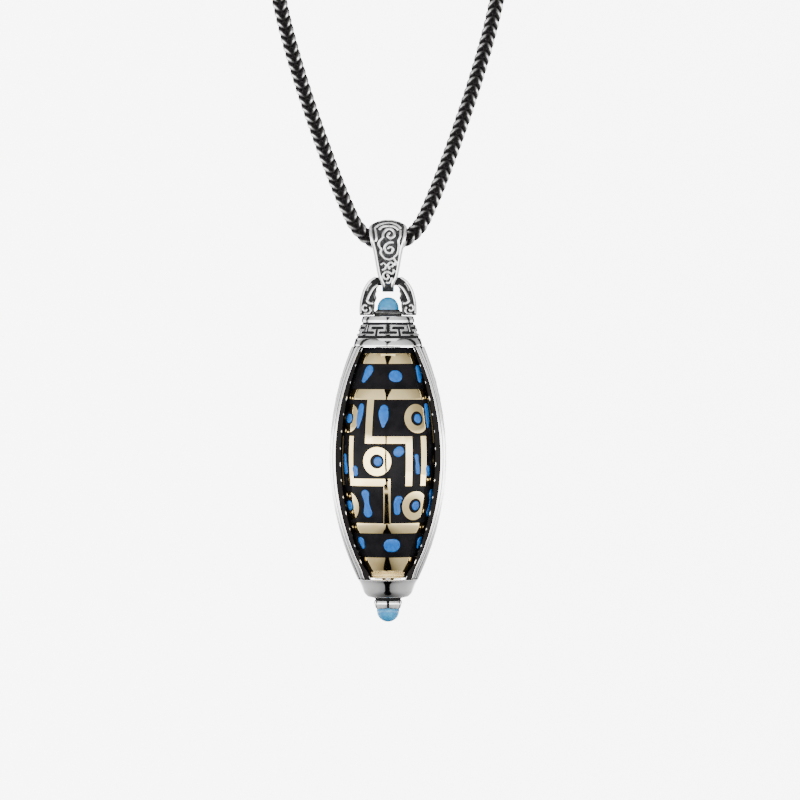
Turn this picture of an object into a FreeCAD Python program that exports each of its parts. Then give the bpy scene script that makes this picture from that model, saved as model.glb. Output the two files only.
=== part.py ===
"""Prayer wheel pendant: a barrel drum that turns in an open frame, hung by a bail on a chain.

Heights in the sheet are measured up from the lowest point of the lower bead. Every piece is then
lowered by hang_height, so the model's origin is the middle of the ring that closes the chain,
with +Z up, the pendant's front towards -Y and its two ribs on the left and right, along X.
"""
import FreeCAD, Part
import math
import os

import Sketcher

SHEET = {
    # heights and radii of the crown
    "hang_height": 77.6,
    "cut_margin": 1.0,
    "crown_low": 28.8,
    "crown_rim_top": 29.65,
    "crown_band_top": 31.3,
    "crown_top": 32.0,
    "crown_low_radius": 3.62,
    "crown_rim_radius": 3.45,
    "crown_band_radius": 2.8,
    "crown_top_radius": 2.62,
    "crown_deck_radius": 2.2,
    "crown_deck_drop": 0.1,
    "crown_bore_depth": 1.7,
    # upper stone in its bezel
    "bezel_radius": 1.5,
    "bezel_top": 32.6,
    "stone_seat_radius": 1.05,
    "stone_seat_depth": 0.4,
    "top_stone_radius": 1.14,
    "top_stone_top": 33.95,
    # arch with the bar that carries the bail
    "arch_foot_half": 3.05,
    "arch_foot_depth": 2.2,
    "arch_shoulder_half": 2.63,
    "arch_shoulder_height": 34.6,
    "arch_top_half": 1.3,
    "arch_top": 36.1,
    "arch_top_depth": 1.0,
    "arch_inner_half": 1.5,
    "arch_inner_top_half": 1.2,
    "arch_inner_shoulder": 34.2,
    "arch_inner_throat": 34.9,
    "arch_foot_curve": 5.76,
    "arch_outer_curve": 3.6,
    "arch_bar_height": 35.6,
    "arch_bar_radius": 0.45,
    "arch_bar_length": 2.6,
    # bail
    "bail_eye_height": 39.93,
    "bail_eye_radius": 1.55,
    "bail_outer_radius": 2.07,
    "bail_loop_radius": 1.2,
    "bail_loop_hole": 0.72,
    "bail_foot_half": 0.68,
    "bail_foot_top": 35.4,
    "bail_waist_half": 1.1,
    "bail_waist_height": 36.3,
    "bail_shoulder_half": 1.98,
    "bail_shoulder_height": 41.1,
    "bail_crown_curve": 2.35,
    "bail_blank_width": 4.2,
    "bail_blank_low": 34.2,
    # ribs
    "rib_low_inner": 2.45,
    "rib_low_outer": 3.22,
    "rib_top_inner": 2.9,
    "rib_top_outer": 3.86,
    "rib_inner_curve": 27.7,
    "rib_outer_curve": 29.9,
    "rib_half_depth": 3.5,
    "rib_end_half_depth": 2.1,
    "rib_edge_curve": 53.0,
    "rib_blank_depth": 10.5,
    "rib_openings": 12,
    "rib_opening_pitch": 1.72,
    "rib_opening_height": 0.6,
    "rib_opening_curve": 0.36,
    "rib_opening_start": 7.2,
    "rib_opening_half": 1.5,
    # bottom cap
    "cap_low": 2.62,
    "cap_side_low": 3.1,
    "cap_side_high": 4.2,
    "cap_top": 4.53,
    "cap_low_radius": 2.2,
    "cap_side_low_radius": 2.62,
    "cap_side_high_radius": 3.02,
    "cap_top_radius": 3.17,
    "cap_recess_radius": 1.4,
    "cap_recess_depth": 0.35,
    "cap_nut_pocket_radius": 1.5,
    "cap_nut_pocket_top": 3.5,
    # collet and lower bead
    "collet_top_radius": 1.9,
    "collet_neck_radius": 1.4,
    "collet_radius": 1.52,
    "collet_shoulder_height": 2.25,
    "collet_neck_height": 2.3,
    "collet_lip_height": 1.75,
    "collet_low": 1.4,
    "collet_low_radius": 1.32,
    "collet_notch_low": 1.2,
    "collet_notch_width": 0.18,
    "collet_notches": 6,
    "bead_radius": 1.2,
    "bead_stem_top": 1.8,
    # drum
    "drum_radius": 5.4,
    "barrel_curve": 26.7,
    "barrel_middle": 17.25,
    "drum_low": 5.3,
    "drum_top": 28.1,
    "inlay_depth": 0.3,
    "shell_wall": 0.45,
    "layer_gap": 0.01,
    "enamel_drop": 0.06,
    "band_low_top": 6.9,
    "band_three_low": 9.4,
    "band_three_top": 10.5,
    "band_two_low": 23.3,
    "band_two_top": 24.4,
    "band_top_low": 27.0,
    "disc_thickness": 0.8,
    "disc_low_radius": 1.68,
    "disc_top_radius": 2.22,
    "foot_low": 4.65,
    "foot_low_radius": 2.2,
    "foot_radius": 2.5,
    "neck_top": 28.7,
    "neck_top_radius": 2.82,
    "neck_radius": 3.08,
    "neck_bore": 1.35,
    "bush_radius": 1.1,
    "bush_top_low": 27.0,
    "bush_top_high": 28.4,
    "bush_low_low": 4.62,
    "bush_low_high": 6.4,
    "scroll_low": 8.0,
    "scroll_top": 26.0,
    "scroll_inner_radius": 1.1,
    "scroll_outer_radius": 2.0,
    # axle and what it carries
    "axle_radius": 0.6,
    "axle_clearance": 0.05,
    "axle_low": 2.75,
    "axle_top": 30.4,
    "washer_radius": 1.3,
    "washer_bore": 0.66,
    "washer_thickness": 0.3,
    "washer_top_low": 28.45,
    "washer_low_low": 4.22,
    "nut_across_flats": 2.2,
    "nut_low": 2.75,
    "nut_top": 3.45,
    # chain and its ends
    "chain_diameter": 1.87,
    "end_cap_mouth": 6.7,
    "end_cap_length": 4.0,
    "end_cap_radius": 1.25,
    "end_cap_shoulder": 2.4,
    "end_cap_curve": 2.5,
    "end_cap_nose_radius": 0.7,
    "eye_centre": 4.7,
    "eye_radius": 1.0,
    "eye_hole": 0.56,
    "eye_thickness": 0.7,
    "ring_radius": 2.0,
    "ring_wire_radius": 0.4,
}

# Half of the chain's route, from the right end cap's mouth down to the bail: x, and the height.
CHAIN_HALF = [
    (6.7, 77.6),
    (8.7, 77.6),
    (10.92, 75.75),
    (12.03, 72.35),
    (11.96, 68.1),
    (10.97, 63.0),
    (9.47, 57.6),
    (7.74, 52.3),
    (5.86, 47.1),
    (4.36, 43.4),
    (3.24, 41.05),
    (1.3, 39.55),
]
ARC_SHARE = 0.45

doc = FreeCAD.newDocument("prayer_wheel")


class Size:
    """A value in millimetres or degrees together with the expression that ties it to the sheet."""

    def __init__(self, value, text):
        self.value = float(value)
        self.text = text

    def _with(self, other, sign, value):
        text = other.text if isinstance(other, Size) else repr(float(other))
        return Size(value, f"({self.text} {sign} {text})")

    def __add__(self, other):
        return self._with(other, "+", self.value + plain(other))

    def __sub__(self, other):
        return self._with(other, "-", self.value - plain(other))

    def __mul__(self, other):
        return self._with(other, "*", self.value * plain(other))

    def __truediv__(self, other):
        return self._with(other, "/", self.value / plain(other))

    def __neg__(self):
        return Size(-self.value, f"(-1 * {self.text})")


def plain(value):
    return value.value if isinstance(value, Size) else float(value)


def make_sheet():
    sheet = doc.addObject("Spreadsheet::Sheet", "Sizes")
    for row, (alias, value) in enumerate(SHEET.items(), start=1):
        sheet.set(f"A{row}", alias)
        sheet.set(f"B{row}", str(value))
        sheet.setAlias(f"B{row}", alias)
    doc.recompute()


def size(alias):
    return Size(SHEET[alias], f"Sizes.{alias}")


def root_of_difference(radius, offset):
    """The other leg of a right triangle, as a Size."""
    value = math.sqrt(radius.value**2 - offset.value**2)
    return Size(value, f"sqrt({radius.text}^2 - {offset.text}^2)")


def barrel_radius(height, depth=0.0):
    """The drum's radius at a height, less a depth under its surface."""
    curve = size("barrel_curve") - depth
    reach = root_of_difference(curve, height - size("barrel_middle"))
    return reach + size("drum_radius") - size("barrel_curve")


# ---------------------------------------------------------------- bodies and sketches


def lower_to_frame(item):
    """Put a piece drawn at the sheet's heights into the model's frame."""
    item.setExpression("Placement.Base.z", "-1 * Sizes.hang_height")


def new_body(name):
    body = doc.addObject("PartDesign::Body", name)
    body.Label = name
    return body


def plane_of(body, role):
    return next(item for item in body.Origin.OriginFeatures if item.Role == role)


def new_sketch(body, role, name):
    sketch = body.newObject("Sketcher::SketchObject", f"{body.Name}_{name}")
    sketch.AttachmentSupport = [(plane_of(body, role), "")]
    sketch.MapMode = "FlatFace"
    return sketch


def hold(sketch, kind, geometry, point, value):
    """Fix a point's distance from the sketch's origin to a Size or a number."""
    index = sketch.addConstraint(Sketcher.Constraint(kind, -1, 1, geometry, point, plain(value)))
    if isinstance(value, Size):
        sketch.setExpression(f"Constraints[{index}]", value.text)


def arc_centre(first, last, radius, side):
    """Centre of the arc between two points; side is 1 if it lies left of the way along."""
    middle = (first + last) / 2
    along = last - first
    reach = math.sqrt(max(radius**2 - (along.Length / 2) ** 2, 0.0))
    left = FreeCAD.Vector(-along.y, along.x, 0).normalize()
    return middle + left * reach * side


def draw_outline(sketch, corners):
    """Draw a closed outline. A corner is (x, y), or (x, y, radius, side) if an arc leaves it."""
    points = [FreeCAD.Vector(plain(c[0]), plain(c[1]), 0) for c in corners]
    starts = []
    ends = []
    for index, corner in enumerate(corners):
        first = points[index]
        last = points[(index + 1) % len(points)]
        if len(corner) == 2:
            edge = sketch.addGeometry(Part.LineSegment(first, last))
            starts.append((edge, 1))
            ends.append((edge, 2))
            continue
        radius, side = corner[2], corner[3]
        centre = arc_centre(first, last, plain(radius), side)
        from_point, to_point = (first, last) if side > 0 else (last, first)
        angles = [math.atan2(p.y - centre.y, p.x - centre.x) for p in (from_point, to_point)]
        circle = Part.Circle(centre, FreeCAD.Vector(0, 0, 1), plain(radius))
        edge = sketch.addGeometry(Part.ArcOfCircle(circle, *angles))
        starts.append((edge, 1 if side > 0 else 2))
        ends.append((edge, 2 if side > 0 else 1))
        index = sketch.addConstraint(Sketcher.Constraint("Radius", edge, plain(radius)))
        if isinstance(radius, Size):
            sketch.setExpression(f"Constraints[{index}]", radius.text)
    for index, corner in enumerate(corners):
        edge, point = starts[index]
        sketch.addConstraint(Sketcher.Constraint("Coincident", *ends[index - 1], edge, point))
        hold(sketch, "DistanceX", edge, point, corner[0])
        hold(sketch, "DistanceY", edge, point, corner[1])


def draw_circle(sketch, x, y, radius):
    centre = FreeCAD.Vector(plain(x), plain(y), 0)
    edge = sketch.addGeometry(Part.Circle(centre, FreeCAD.Vector(0, 0, 1), radius.value))
    hold(sketch, "DistanceX", edge, 3, x)
    hold(sketch, "DistanceY", edge, 3, y)
    index = sketch.addConstraint(Sketcher.Constraint("Radius", edge, radius.value))
    sketch.setExpression(f"Constraints[{index}]", radius.text)


def revolve(body, corners, name="profile"):
    sketch = new_sketch(body, "XZ_Plane", name)
    draw_outline(sketch, corners)
    turned = body.newObject("PartDesign::Revolution", f"{body.Name}_turned")
    turned.Profile = sketch
    turned.ReferenceAxis = (sketch, ["V_Axis"])
    turned.Angle = 360.0
    return turned


def turned_part(name, corners):
    body = new_body(name)
    revolve(body, corners)
    lower_to_frame(body)
    return body


def pad(body, sketch, length):
    feature = body.newObject("PartDesign::Pad", f"{sketch.Name}_pad")
    feature.Profile = sketch
    feature.Midplane = True
    feature.Length = length.value
    feature.setExpression("Length", length.text)
    return feature


def cut_through(body, sketch):
    feature = body.newObject("PartDesign::Pocket", f"{sketch.Name}_cut")
    feature.Profile = sketch
    feature.Type = "ThroughAll"
    feature.Midplane = True
    return feature


def tube(name, inner, outer, low, high):
    """A plain ring or bush from its two radii and two heights."""
    corners = [(inner, low), (outer, low), (outer, high), (inner, high)]
    return turned_part(name, corners)


def barrel_sleeve(name, low, high, outer_depth, inner_depth):
    """A sleeve that follows the barrel between two depths under its surface."""
    curve = size("barrel_curve")
    corners = [
        (barrel_radius(low, outer_depth), low, curve - outer_depth, 1),
        (barrel_radius(high, outer_depth), high),
        (barrel_radius(high, inner_depth), high, curve - inner_depth, -1),
        (barrel_radius(low, inner_depth), low),
    ]
    return turned_part(name, corners)


def frame_around(sketch, inner_corners, reach, low, high):
    """An outline with a bigger rectangle round it, so that a cut leaves what is inside."""
    low = low - size("cut_margin")
    high = high + size("cut_margin")
    outer = [(-reach, low), (reach, low), (reach, high), (-reach, high)]
    draw_outline(sketch, outer)
    draw_outline(sketch, inner_corners)


# ---------------------------------------------------------------- the pendant's frame


def make_crown():
    low = size("crown_low")
    top = size("crown_top")
    bore = size("axle_radius")
    deck = top - size("crown_deck_drop")
    bore_end = low + size("crown_bore_depth")
    corners = [
        (bore, low),
        (size("crown_low_radius"), low),
        (size("crown_rim_radius"), size("crown_rim_top")),
        (size("crown_band_radius"), size("crown_band_top")),
        (size("crown_top_radius"), top),
        (size("crown_deck_radius"), top),
        (size("crown_deck_radius"), deck),
        (0, deck),
        (0, bore_end),
        (bore, bore_end),
    ]
    return turned_part("crown_cap", corners)


def make_top_stone():
    deck = size("crown_top") - size("crown_deck_drop")
    seat = size("stone_seat_radius")
    top = size("bezel_top")
    seat_low = top - size("stone_seat_depth")
    bezel = [
        (0, deck),
        (size("bezel_radius"), deck),
        (size("bezel_radius"), top),
        (seat, top),
        (seat, seat_low),
        (0, seat_low),
    ]
    turned_part("top_bezel", bezel)
    radius = size("top_stone_radius")
    shoulder = size("top_stone_top") - radius
    stone = [
        (0, seat_low),
        (seat, seat_low),
        (seat, top),
        (radius, top),
        (radius, shoulder, radius, 1),
        (0, size("top_stone_top")),
    ]
    turned_part("top_cabochon", stone)


def make_arch():
    """Two arms that rise from the crown and a round bar between their tops."""
    body = new_body("crown_arch")
    foot = size("crown_top")
    top = size("arch_top")
    curve = size("arch_outer_curve")
    shoulder = size("arch_shoulder_height")
    foot_half = size("arch_foot_half")
    shoulder_half = size("arch_shoulder_half")
    top_half = size("arch_top_half")
    inner = size("arch_inner_half")
    inner_top = size("arch_inner_top_half")
    inner_shoulder = size("arch_inner_shoulder")
    front = new_sketch(body, "XZ_Plane", "arms")
    for side in (1, -1):
        draw_outline(front, [
            (inner * side, foot),
            (foot_half * side, foot, size("arch_foot_curve"), side),
            (shoulder_half * side, shoulder, curve, side),
            (top_half * side, top),
            (inner_top * side, top),
            (inner_top * side, size("arch_inner_throat")),
            (inner * side, inner_shoulder),
        ])
    pad(body, front, size("arch_foot_depth"))
    side_view = new_sketch(body, "YZ_Plane", "depth")
    foot_depth = size("arch_foot_depth") / 2
    top_depth = size("arch_top_depth") / 2
    taper = [
        (-foot_depth, foot),
        (foot_depth, foot),
        (top_depth, top),
        (-top_depth, top),
    ]
    reach = size("arch_foot_depth")
    frame_around(side_view, taper, reach, foot, top)
    cut_through(body, side_view)
    bar = new_sketch(body, "YZ_Plane", "bar")
    draw_circle(bar, 0, size("arch_bar_height"), size("arch_bar_radius"))
    pad(body, bar, size("arch_bar_length"))
    lower_to_frame(body)


def make_rib(name, side):
    """A curved band, deep from front to back, pierced by a row of openings."""
    body = new_body(name)
    low = size("cap_top")
    high = size("crown_low")
    front = new_sketch(body, "XZ_Plane", "band")
    draw_outline(front, [
        (size("rib_low_inner") * side, low),
        (size("rib_low_outer") * side, low, size("rib_outer_curve"), side),
        (size("rib_top_outer") * side, high),
        (size("rib_top_inner") * side, high, size("rib_inner_curve"), -side),
    ])
    pad(body, front, size("rib_blank_depth"))
    depth = new_sketch(body, "YZ_Plane", "depth")
    end = size("rib_end_half_depth")
    lens = [
        (end, low, size("rib_edge_curve"), 1),
        (end, high),
        (-end, high, size("rib_edge_curve"), 1),
        (-end, low),
    ]
    frame_around(depth, lens, size("rib_blank_depth"), low, high)
    cut_through(body, depth)
    pierce_rib(body)
    lower_to_frame(body)


def pierce_rib(body):
    """A ladder of openings up the band, each with bowed ends."""
    sketch = new_sketch(body, "YZ_Plane", "openings")
    radius = size("rib_opening_curve")
    reach = size("rib_opening_height") / 2
    half = size("rib_opening_half")
    for step in range(SHEET["rib_openings"]):
        middle = size("rib_opening_start") + size("rib_opening_pitch") * step
        draw_outline(sketch, [
            (half, middle - reach, radius, 1),
            (half, middle + reach),
            (-half, middle + reach, radius, 1),
            (-half, middle - reach),
        ])
    cut_through(body, sketch)


def make_bottom_cap():
    low = size("cap_low")
    top = size("cap_top")
    bore = size("axle_radius")
    recess = top - size("cap_recess_depth")
    corners = [
        (size("cap_nut_pocket_radius"), low),
        (size("cap_low_radius"), low),
        (size("cap_side_low_radius"), size("cap_side_low")),
        (size("cap_side_high_radius"), size("cap_side_high")),
        (size("cap_top_radius"), top),
        (size("cap_recess_radius"), top),
        (size("cap_recess_radius"), recess),
        (bore, recess),
        (bore, size("cap_nut_pocket_top")),
        (size("cap_nut_pocket_radius"), size("cap_nut_pocket_top")),
    ]
    turned_part("bottom_cap", corners)


def make_collet():
    """The notched cup that holds the lower bead."""
    body = new_body("bottom_collet")
    top = size("cap_low")
    seat = size("stone_seat_radius")
    stem_top = size("bead_stem_top")
    revolve(body, [
        (0, top),
        (0, stem_top),
        (seat, stem_top),
        (seat, size("collet_low")),
        (size("collet_low_radius"), size("collet_low")),
        (size("collet_radius"), size("collet_lip_height")),
        (size("collet_radius"), size("collet_shoulder_height")),
        (size("collet_neck_radius"), size("collet_neck_height")),
        (size("collet_top_radius"), top),
    ])
    notch = new_sketch(body, "XZ_Plane", "notch")
    half = size("collet_notch_width") / 2
    low = size("collet_notch_low")
    draw_outline(notch, [
        (-half, low),
        (half, low),
        (half, size("collet_neck_height")),
        (-half, size("collet_neck_height")),
    ])
    cut = cut_through(body, notch)
    pattern = body.newObject("PartDesign::PolarPattern", "collet_notches")
    pattern.Originals = [cut]
    pattern.Axis = (notch, ["V_Axis"])
    pattern.Angle = 180.0
    pattern.Occurrences = int(SHEET["collet_notches"] / 2) + 1
    body.Tip = pattern
    lower_to_frame(body)


def make_bead():
    radius = size("bead_radius")
    seat = size("stone_seat_radius")
    rim = size("collet_low")
    corners = [
        (0, 0, radius, 1),
        (radius, radius),
        (radius, rim),
        (seat, rim),
        (seat, size("bead_stem_top")),
        (0, size("bead_stem_top")),
    ]
    turned_part("bottom_cabochon", corners)


# ---------------------------------------------------------------- axle and drum


def make_axle():
    rod = doc.addObject("Part::Cylinder", "axle")
    rod.Label = "axle"
    rod.setExpression("Radius", "Sizes.axle_radius")
    rod.setExpression("Height", "Sizes.axle_top - Sizes.axle_low")
    rod.setExpression("Placement.Base.z", "Sizes.axle_low - Sizes.hang_height")
    washer = size("washer_thickness")
    for name, low in (("upper_washer", "washer_top_low"), ("lower_washer", "washer_low_low")):
        tube(name, size("washer_bore"), size("washer_radius"), size(low), size(low) + washer)
    make_nut()


def make_nut():
    """A six-sided nut on the axle's lower end."""
    blank = doc.addObject("Part::Prism", "nut_blank")
    blank.Polygon = 6
    blank.setExpression("Circumradius", "Sizes.nut_across_flats / 2 / cos(30)")
    blank.setExpression("Height", "Sizes.nut_top - Sizes.nut_low")
    hole = doc.addObject("Part::Cylinder", "nut_hole")
    hole.setExpression("Radius", "Sizes.axle_radius")
    hole.setExpression("Height", "Sizes.nut_top - Sizes.nut_low")
    nut = doc.addObject("Part::Cut", "axle_nut")
    nut.Base = blank
    nut.Tool = hole
    nut.Label = "axle_nut"
    nut.setExpression("Placement.Base.z", "Sizes.nut_low - Sizes.hang_height")


def make_drum():
    low = size("drum_low")
    top = size("drum_top")
    inlay = size("inlay_depth")
    gap = size("layer_gap")
    barrel_sleeve("drum_shell", low, top, inlay + gap, inlay + gap + size("shell_wall"))
    bands = [
        ("gold_band_foot", low, size("band_low_top")),
        ("gold_band_lower", size("band_three_low"), size("band_three_top")),
        ("gold_band_upper", size("band_two_low"), size("band_two_top")),
        ("gold_band_neck", size("band_top_low"), top),
    ]
    for name, start, end in bands:
        barrel_sleeve(name, start, end, 0.0, inlay)
    zones = [
        ("enamel_lower", size("band_low_top"), size("band_three_low")),
        ("enamel_middle", size("band_three_top"), size("band_two_low")),
        ("enamel_upper", size("band_two_top"), size("band_top_low")),
    ]
    for name, start, end in zones:
        barrel_sleeve(name, start, end, size("enamel_drop"), inlay)


def make_drum_inside():
    bush = size("bush_radius")
    bore = size("axle_radius") + size("axle_clearance")
    low = size("drum_low")
    top = size("drum_top")
    thickness = size("disc_thickness")
    tube("drum_top_disc", bush, size("disc_top_radius"), top - thickness, top)
    tube("drum_bottom_disc", bush, size("disc_low_radius"), low, low + thickness)
    tube("upper_bush", bore, bush, size("bush_top_low"), size("bush_top_high"))
    tube("lower_bush", bore, bush, size("bush_low_low"), size("bush_low_high"))
    turned_part("drum_foot_ring", [
        (bush, size("foot_low")),
        (size("foot_low_radius"), size("foot_low")),
        (size("foot_radius"), low),
        (bush, low),
    ])
    turned_part("drum_neck_ring", [
        (size("neck_bore"), top),
        (size("neck_radius"), top),
        (size("neck_top_radius"), size("neck_top")),
        (size("neck_bore"), size("neck_top")),
    ])
    tube(
        "prayer_scroll",
        size("scroll_inner_radius"),
        size("scroll_outer_radius"),
        size("scroll_low"),
        size("scroll_top"),
    )


# ---------------------------------------------------------------- bail, chain and its ends


def tangent_points(low_height, low_radius, high_height, high_radius):
    """Where the right-hand common tangent of two circles on the vertical axis touches them."""
    rise = high_height - low_height
    tilt = math.asin((high_radius - low_radius) / rise)
    return [
        (radius * math.cos(tilt), height - radius * math.sin(tilt))
        for radius, height in ((low_radius, low_height), (high_radius, high_height))
    ]


def make_bail():
    """A loop seen from the side, with a large and a small eye, tapered as seen from the front."""
    body = new_body("bail")
    eye = size("bail_eye_height")
    outer = size("bail_outer_radius")
    loop = size("bail_loop_radius")
    bar = size("arch_bar_height")
    touch_low, touch_high = tangent_points(bar.value, loop.value, eye.value, outer.value)
    side_view = new_sketch(body, "YZ_Plane", "side")
    draw_outline(side_view, [
        (0, bar - loop, loop, 1),
        touch_low,
        (*touch_high, outer, 1),
        (0, eye + outer, outer, 1),
        (-touch_high[0], touch_high[1]),
        (-touch_low[0], touch_low[1], loop, 1),
    ])
    draw_circle(side_view, 0, eye, size("bail_eye_radius"))
    draw_circle(side_view, 0, bar, size("bail_loop_hole"))
    pad(body, side_view, size("bail_blank_width"))
    front = new_sketch(body, "XZ_Plane", "front")
    foot = size("bail_foot_half")
    waist = size("bail_waist_half")
    shoulder = size("bail_shoulder_half")
    top = eye + outer
    low = size("bail_blank_low")
    outline = [
        (-foot, low),
        (foot, low),
        (foot, size("bail_foot_top")),
        (waist, size("bail_waist_height")),
        (shoulder, size("bail_shoulder_height"), size("bail_crown_curve"), 1),
        (0, top, size("bail_crown_curve"), 1),
        (-shoulder, size("bail_shoulder_height")),
        (-waist, size("bail_waist_height")),
        (-foot, size("bail_foot_top")),
    ]
    frame_around(front, outline, size("bail_blank_width"), low, top)
    cut_through(body, front)
    lower_to_frame(body)


def chain_route():
    right = [FreeCAD.Vector(x, 0, z - SHEET["hang_height"]) for x, z in CHAIN_HALF]
    left = [FreeCAD.Vector(-p.x, 0, p.z) for p in reversed(right)]
    return right + left


def rounded_path(points):
    """Straight runs joined by tangent arcs, each as large as its two runs allow."""
    edges = []
    radii = []
    start = points[0]
    for before, corner, after in zip(points, points[1:], points[2:]):
        back = before - corner
        ahead = after - corner
        half_turn = (math.pi - back.getAngle(ahead)) / 2
        reach = ARC_SHARE * min(back.Length, ahead.Length)
        radii.append(reach / math.tan(half_turn))
        back.normalize()
        ahead.normalize()
        first = corner + back * reach
        last = corner + ahead * reach
        inward = (back + ahead).normalize()
        sagitta = radii[-1] / math.cos(half_turn) - radii[-1]
        edges.append(Part.LineSegment(start, first).toShape())
        edges.append(Part.Arc(first, corner + inward * sagitta, last).toShape())
        start = last
    edges.append(Part.LineSegment(start, points[-1]).toShape())
    return Part.Wire(edges), radii


def make_chain():
    path, radii = rounded_path(chain_route())
    radius = SHEET["chain_diameter"] / 2
    start = path.Edges[0].valueAt(path.Edges[0].FirstParameter)
    along = path.Edges[0].tangentAt(path.Edges[0].FirstParameter)
    section = Part.Wire(Part.makeCircle(radius, start, along))
    solid = path.makePipeShell([section], True, False)
    expected = math.pi * radius**2 * path.Length
    if abs(solid.Volume / expected - 1) > 0.01:
        raise RuntimeError(f"chain volume {solid.Volume:.2f}, expected {expected:.2f}")
    print("chain length", round(path.Length, 1), "radii", [round(r, 1) for r in radii])
    chain = doc.addObject("Part::Feature", "chain")
    chain.Shape = solid
    chain.Label = "chain"


def make_end_cap(name, side):
    """A turned cap on the chain's end, with an eye on its nose; its own +Z points to the eye."""
    body = new_body(name)
    length = size("end_cap_length")
    wide = size("end_cap_radius")
    nose = size("end_cap_nose_radius")
    revolve(body, [
        (0, 0),
        (wide, 0),
        (wide, size("end_cap_shoulder"), size("end_cap_curve"), 1),
        (nose, length),
        (0, length),
    ])
    eye = new_sketch(body, "YZ_Plane", "eye")
    draw_circle(eye, 0, size("eye_centre"), size("eye_radius"))
    pad(body, eye, size("eye_thickness"))
    hole = new_sketch(body, "YZ_Plane", "hole")
    draw_circle(hole, 0, size("eye_centre"), size("eye_hole"))
    cut_through(body, hole)
    body.Placement.Rotation = FreeCAD.Rotation(FreeCAD.Vector(0, 1, 0), -90 * side)
    body.setExpression("Placement.Base.x", f"{side} * Sizes.end_cap_mouth")


def make_ring():
    ring = doc.addObject("Part::Torus", "hanging_ring")
    ring.Label = "hanging_ring"
    ring.setExpression("Radius1", "Sizes.ring_radius")
    ring.setExpression("Radius2", "Sizes.ring_wire_radius")
    ring.Placement.Rotation = FreeCAD.Rotation(FreeCAD.Vector(1, 0, 0), 90)


# ---------------------------------------------------------------- checks and files


def check_and_export(names):
    doc.recompute()
    for item in doc.Objects:
        if "Invalid" in item.State or "Error" in item.State:
            raise RuntimeError(f"{item.Name} failed: {item.State}")
    os.makedirs("parts", exist_ok=True)
    for name in names:
        shape = doc.getObjectsByLabel(name)[0].Shape
        if shape.isNull() or not shape.isValid() or shape.Volume <= 0:
            raise RuntimeError(f"{name} has no valid solid")
        shape.exportStep(f"parts/{name}.step")
        print(f"{name:24s} {len(shape.Solids)} solid  {shape.Volume:9.3f} mm3")


NODES = [
    "chain", "chain_end_cap_left", "chain_end_cap_right", "hanging_ring", "bail",
    "crown_arch", "crown_cap", "top_bezel", "top_cabochon", "rib_left", "rib_right",
    "bottom_cap", "bottom_collet", "bottom_cabochon", "axle", "axle_nut",
    "upper_washer", "lower_washer", "drum_shell", "drum_top_disc", "drum_bottom_disc",
    "upper_bush", "lower_bush", "drum_foot_ring", "drum_neck_ring", "prayer_scroll",
    "gold_band_foot", "gold_band_lower", "gold_band_upper", "gold_band_neck",
    "enamel_lower", "enamel_middle", "enamel_upper",
]

make_sheet()
make_chain()
make_end_cap("chain_end_cap_right", 1)
make_end_cap("chain_end_cap_left", -1)
make_ring()
make_bail()
make_arch()
make_crown()
make_top_stone()
make_rib("rib_right", 1)
make_rib("rib_left", -1)
make_bottom_cap()
make_collet()
make_bead()
make_axle()
make_drum()
make_drum_inside()
check_and_export(NODES)
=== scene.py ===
"""Looks of the prayer wheel pendant: chain, carved silver frame and enamelled drum.

Shapes are drawn in millimetres, with heights counted up from the tip of the lower bead, and
settled into the frame in metres at the end of each piece. The front of the pendant faces -Y.
"""
from math import asin, atan2, copysign, cos, hypot, pi, radians, sin, sqrt

import bmesh
import bpy
from mathutils import Matrix, Vector, kdtree


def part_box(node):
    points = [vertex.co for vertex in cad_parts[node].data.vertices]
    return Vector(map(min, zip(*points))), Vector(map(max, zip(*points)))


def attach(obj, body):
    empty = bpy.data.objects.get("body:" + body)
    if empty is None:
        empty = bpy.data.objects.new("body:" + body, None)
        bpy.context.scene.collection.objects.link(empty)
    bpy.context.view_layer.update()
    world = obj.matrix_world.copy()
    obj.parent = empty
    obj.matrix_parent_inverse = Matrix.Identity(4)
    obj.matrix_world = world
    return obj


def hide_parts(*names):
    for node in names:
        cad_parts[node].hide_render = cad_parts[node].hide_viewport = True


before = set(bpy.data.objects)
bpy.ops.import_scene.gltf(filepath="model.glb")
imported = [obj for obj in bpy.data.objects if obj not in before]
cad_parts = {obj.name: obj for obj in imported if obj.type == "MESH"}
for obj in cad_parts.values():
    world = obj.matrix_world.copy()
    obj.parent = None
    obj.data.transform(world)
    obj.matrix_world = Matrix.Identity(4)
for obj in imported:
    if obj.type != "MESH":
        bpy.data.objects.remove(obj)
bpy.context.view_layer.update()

MM = 0.001
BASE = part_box("bottom_cabochon")[0].z
TO_FRAME = Matrix.Translation((0, 0, BASE)) @ Matrix.Scale(MM, 4)
TURN = 2 * pi


def height_of(metres):
    """A height in the frame as millimetres above the lower bead's tip."""
    return (metres - BASE) / MM


def low_of(node):
    return height_of(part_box(node)[0].z)


def top_of(node):
    return height_of(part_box(node)[1].z)


# ---- materials


def new_material(name):
    material = bpy.data.materials.new(name)
    material.use_nodes = True
    nodes = material.node_tree.nodes
    return material, nodes, material.node_tree.links, nodes["Principled BSDF"]


def add_noise(nodes, links, scale, detail=4.0, stretch=(1, 1, 1)):
    """Noise over the frame's own coordinates; scale is in features per millimetre."""
    place = nodes.new("ShaderNodeTexCoord")
    mapping = nodes.new("ShaderNodeMapping")
    mapping.inputs["Scale"].default_value = [s * scale / MM for s in stretch]
    noise = nodes.new("ShaderNodeTexNoise")
    noise.inputs["Scale"].default_value = 1.0
    noise.inputs["Detail"].default_value = detail
    links.new(place.outputs["Object"], mapping.inputs["Vector"])
    links.new(mapping.outputs["Vector"], noise.inputs["Vector"])
    return noise


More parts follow.
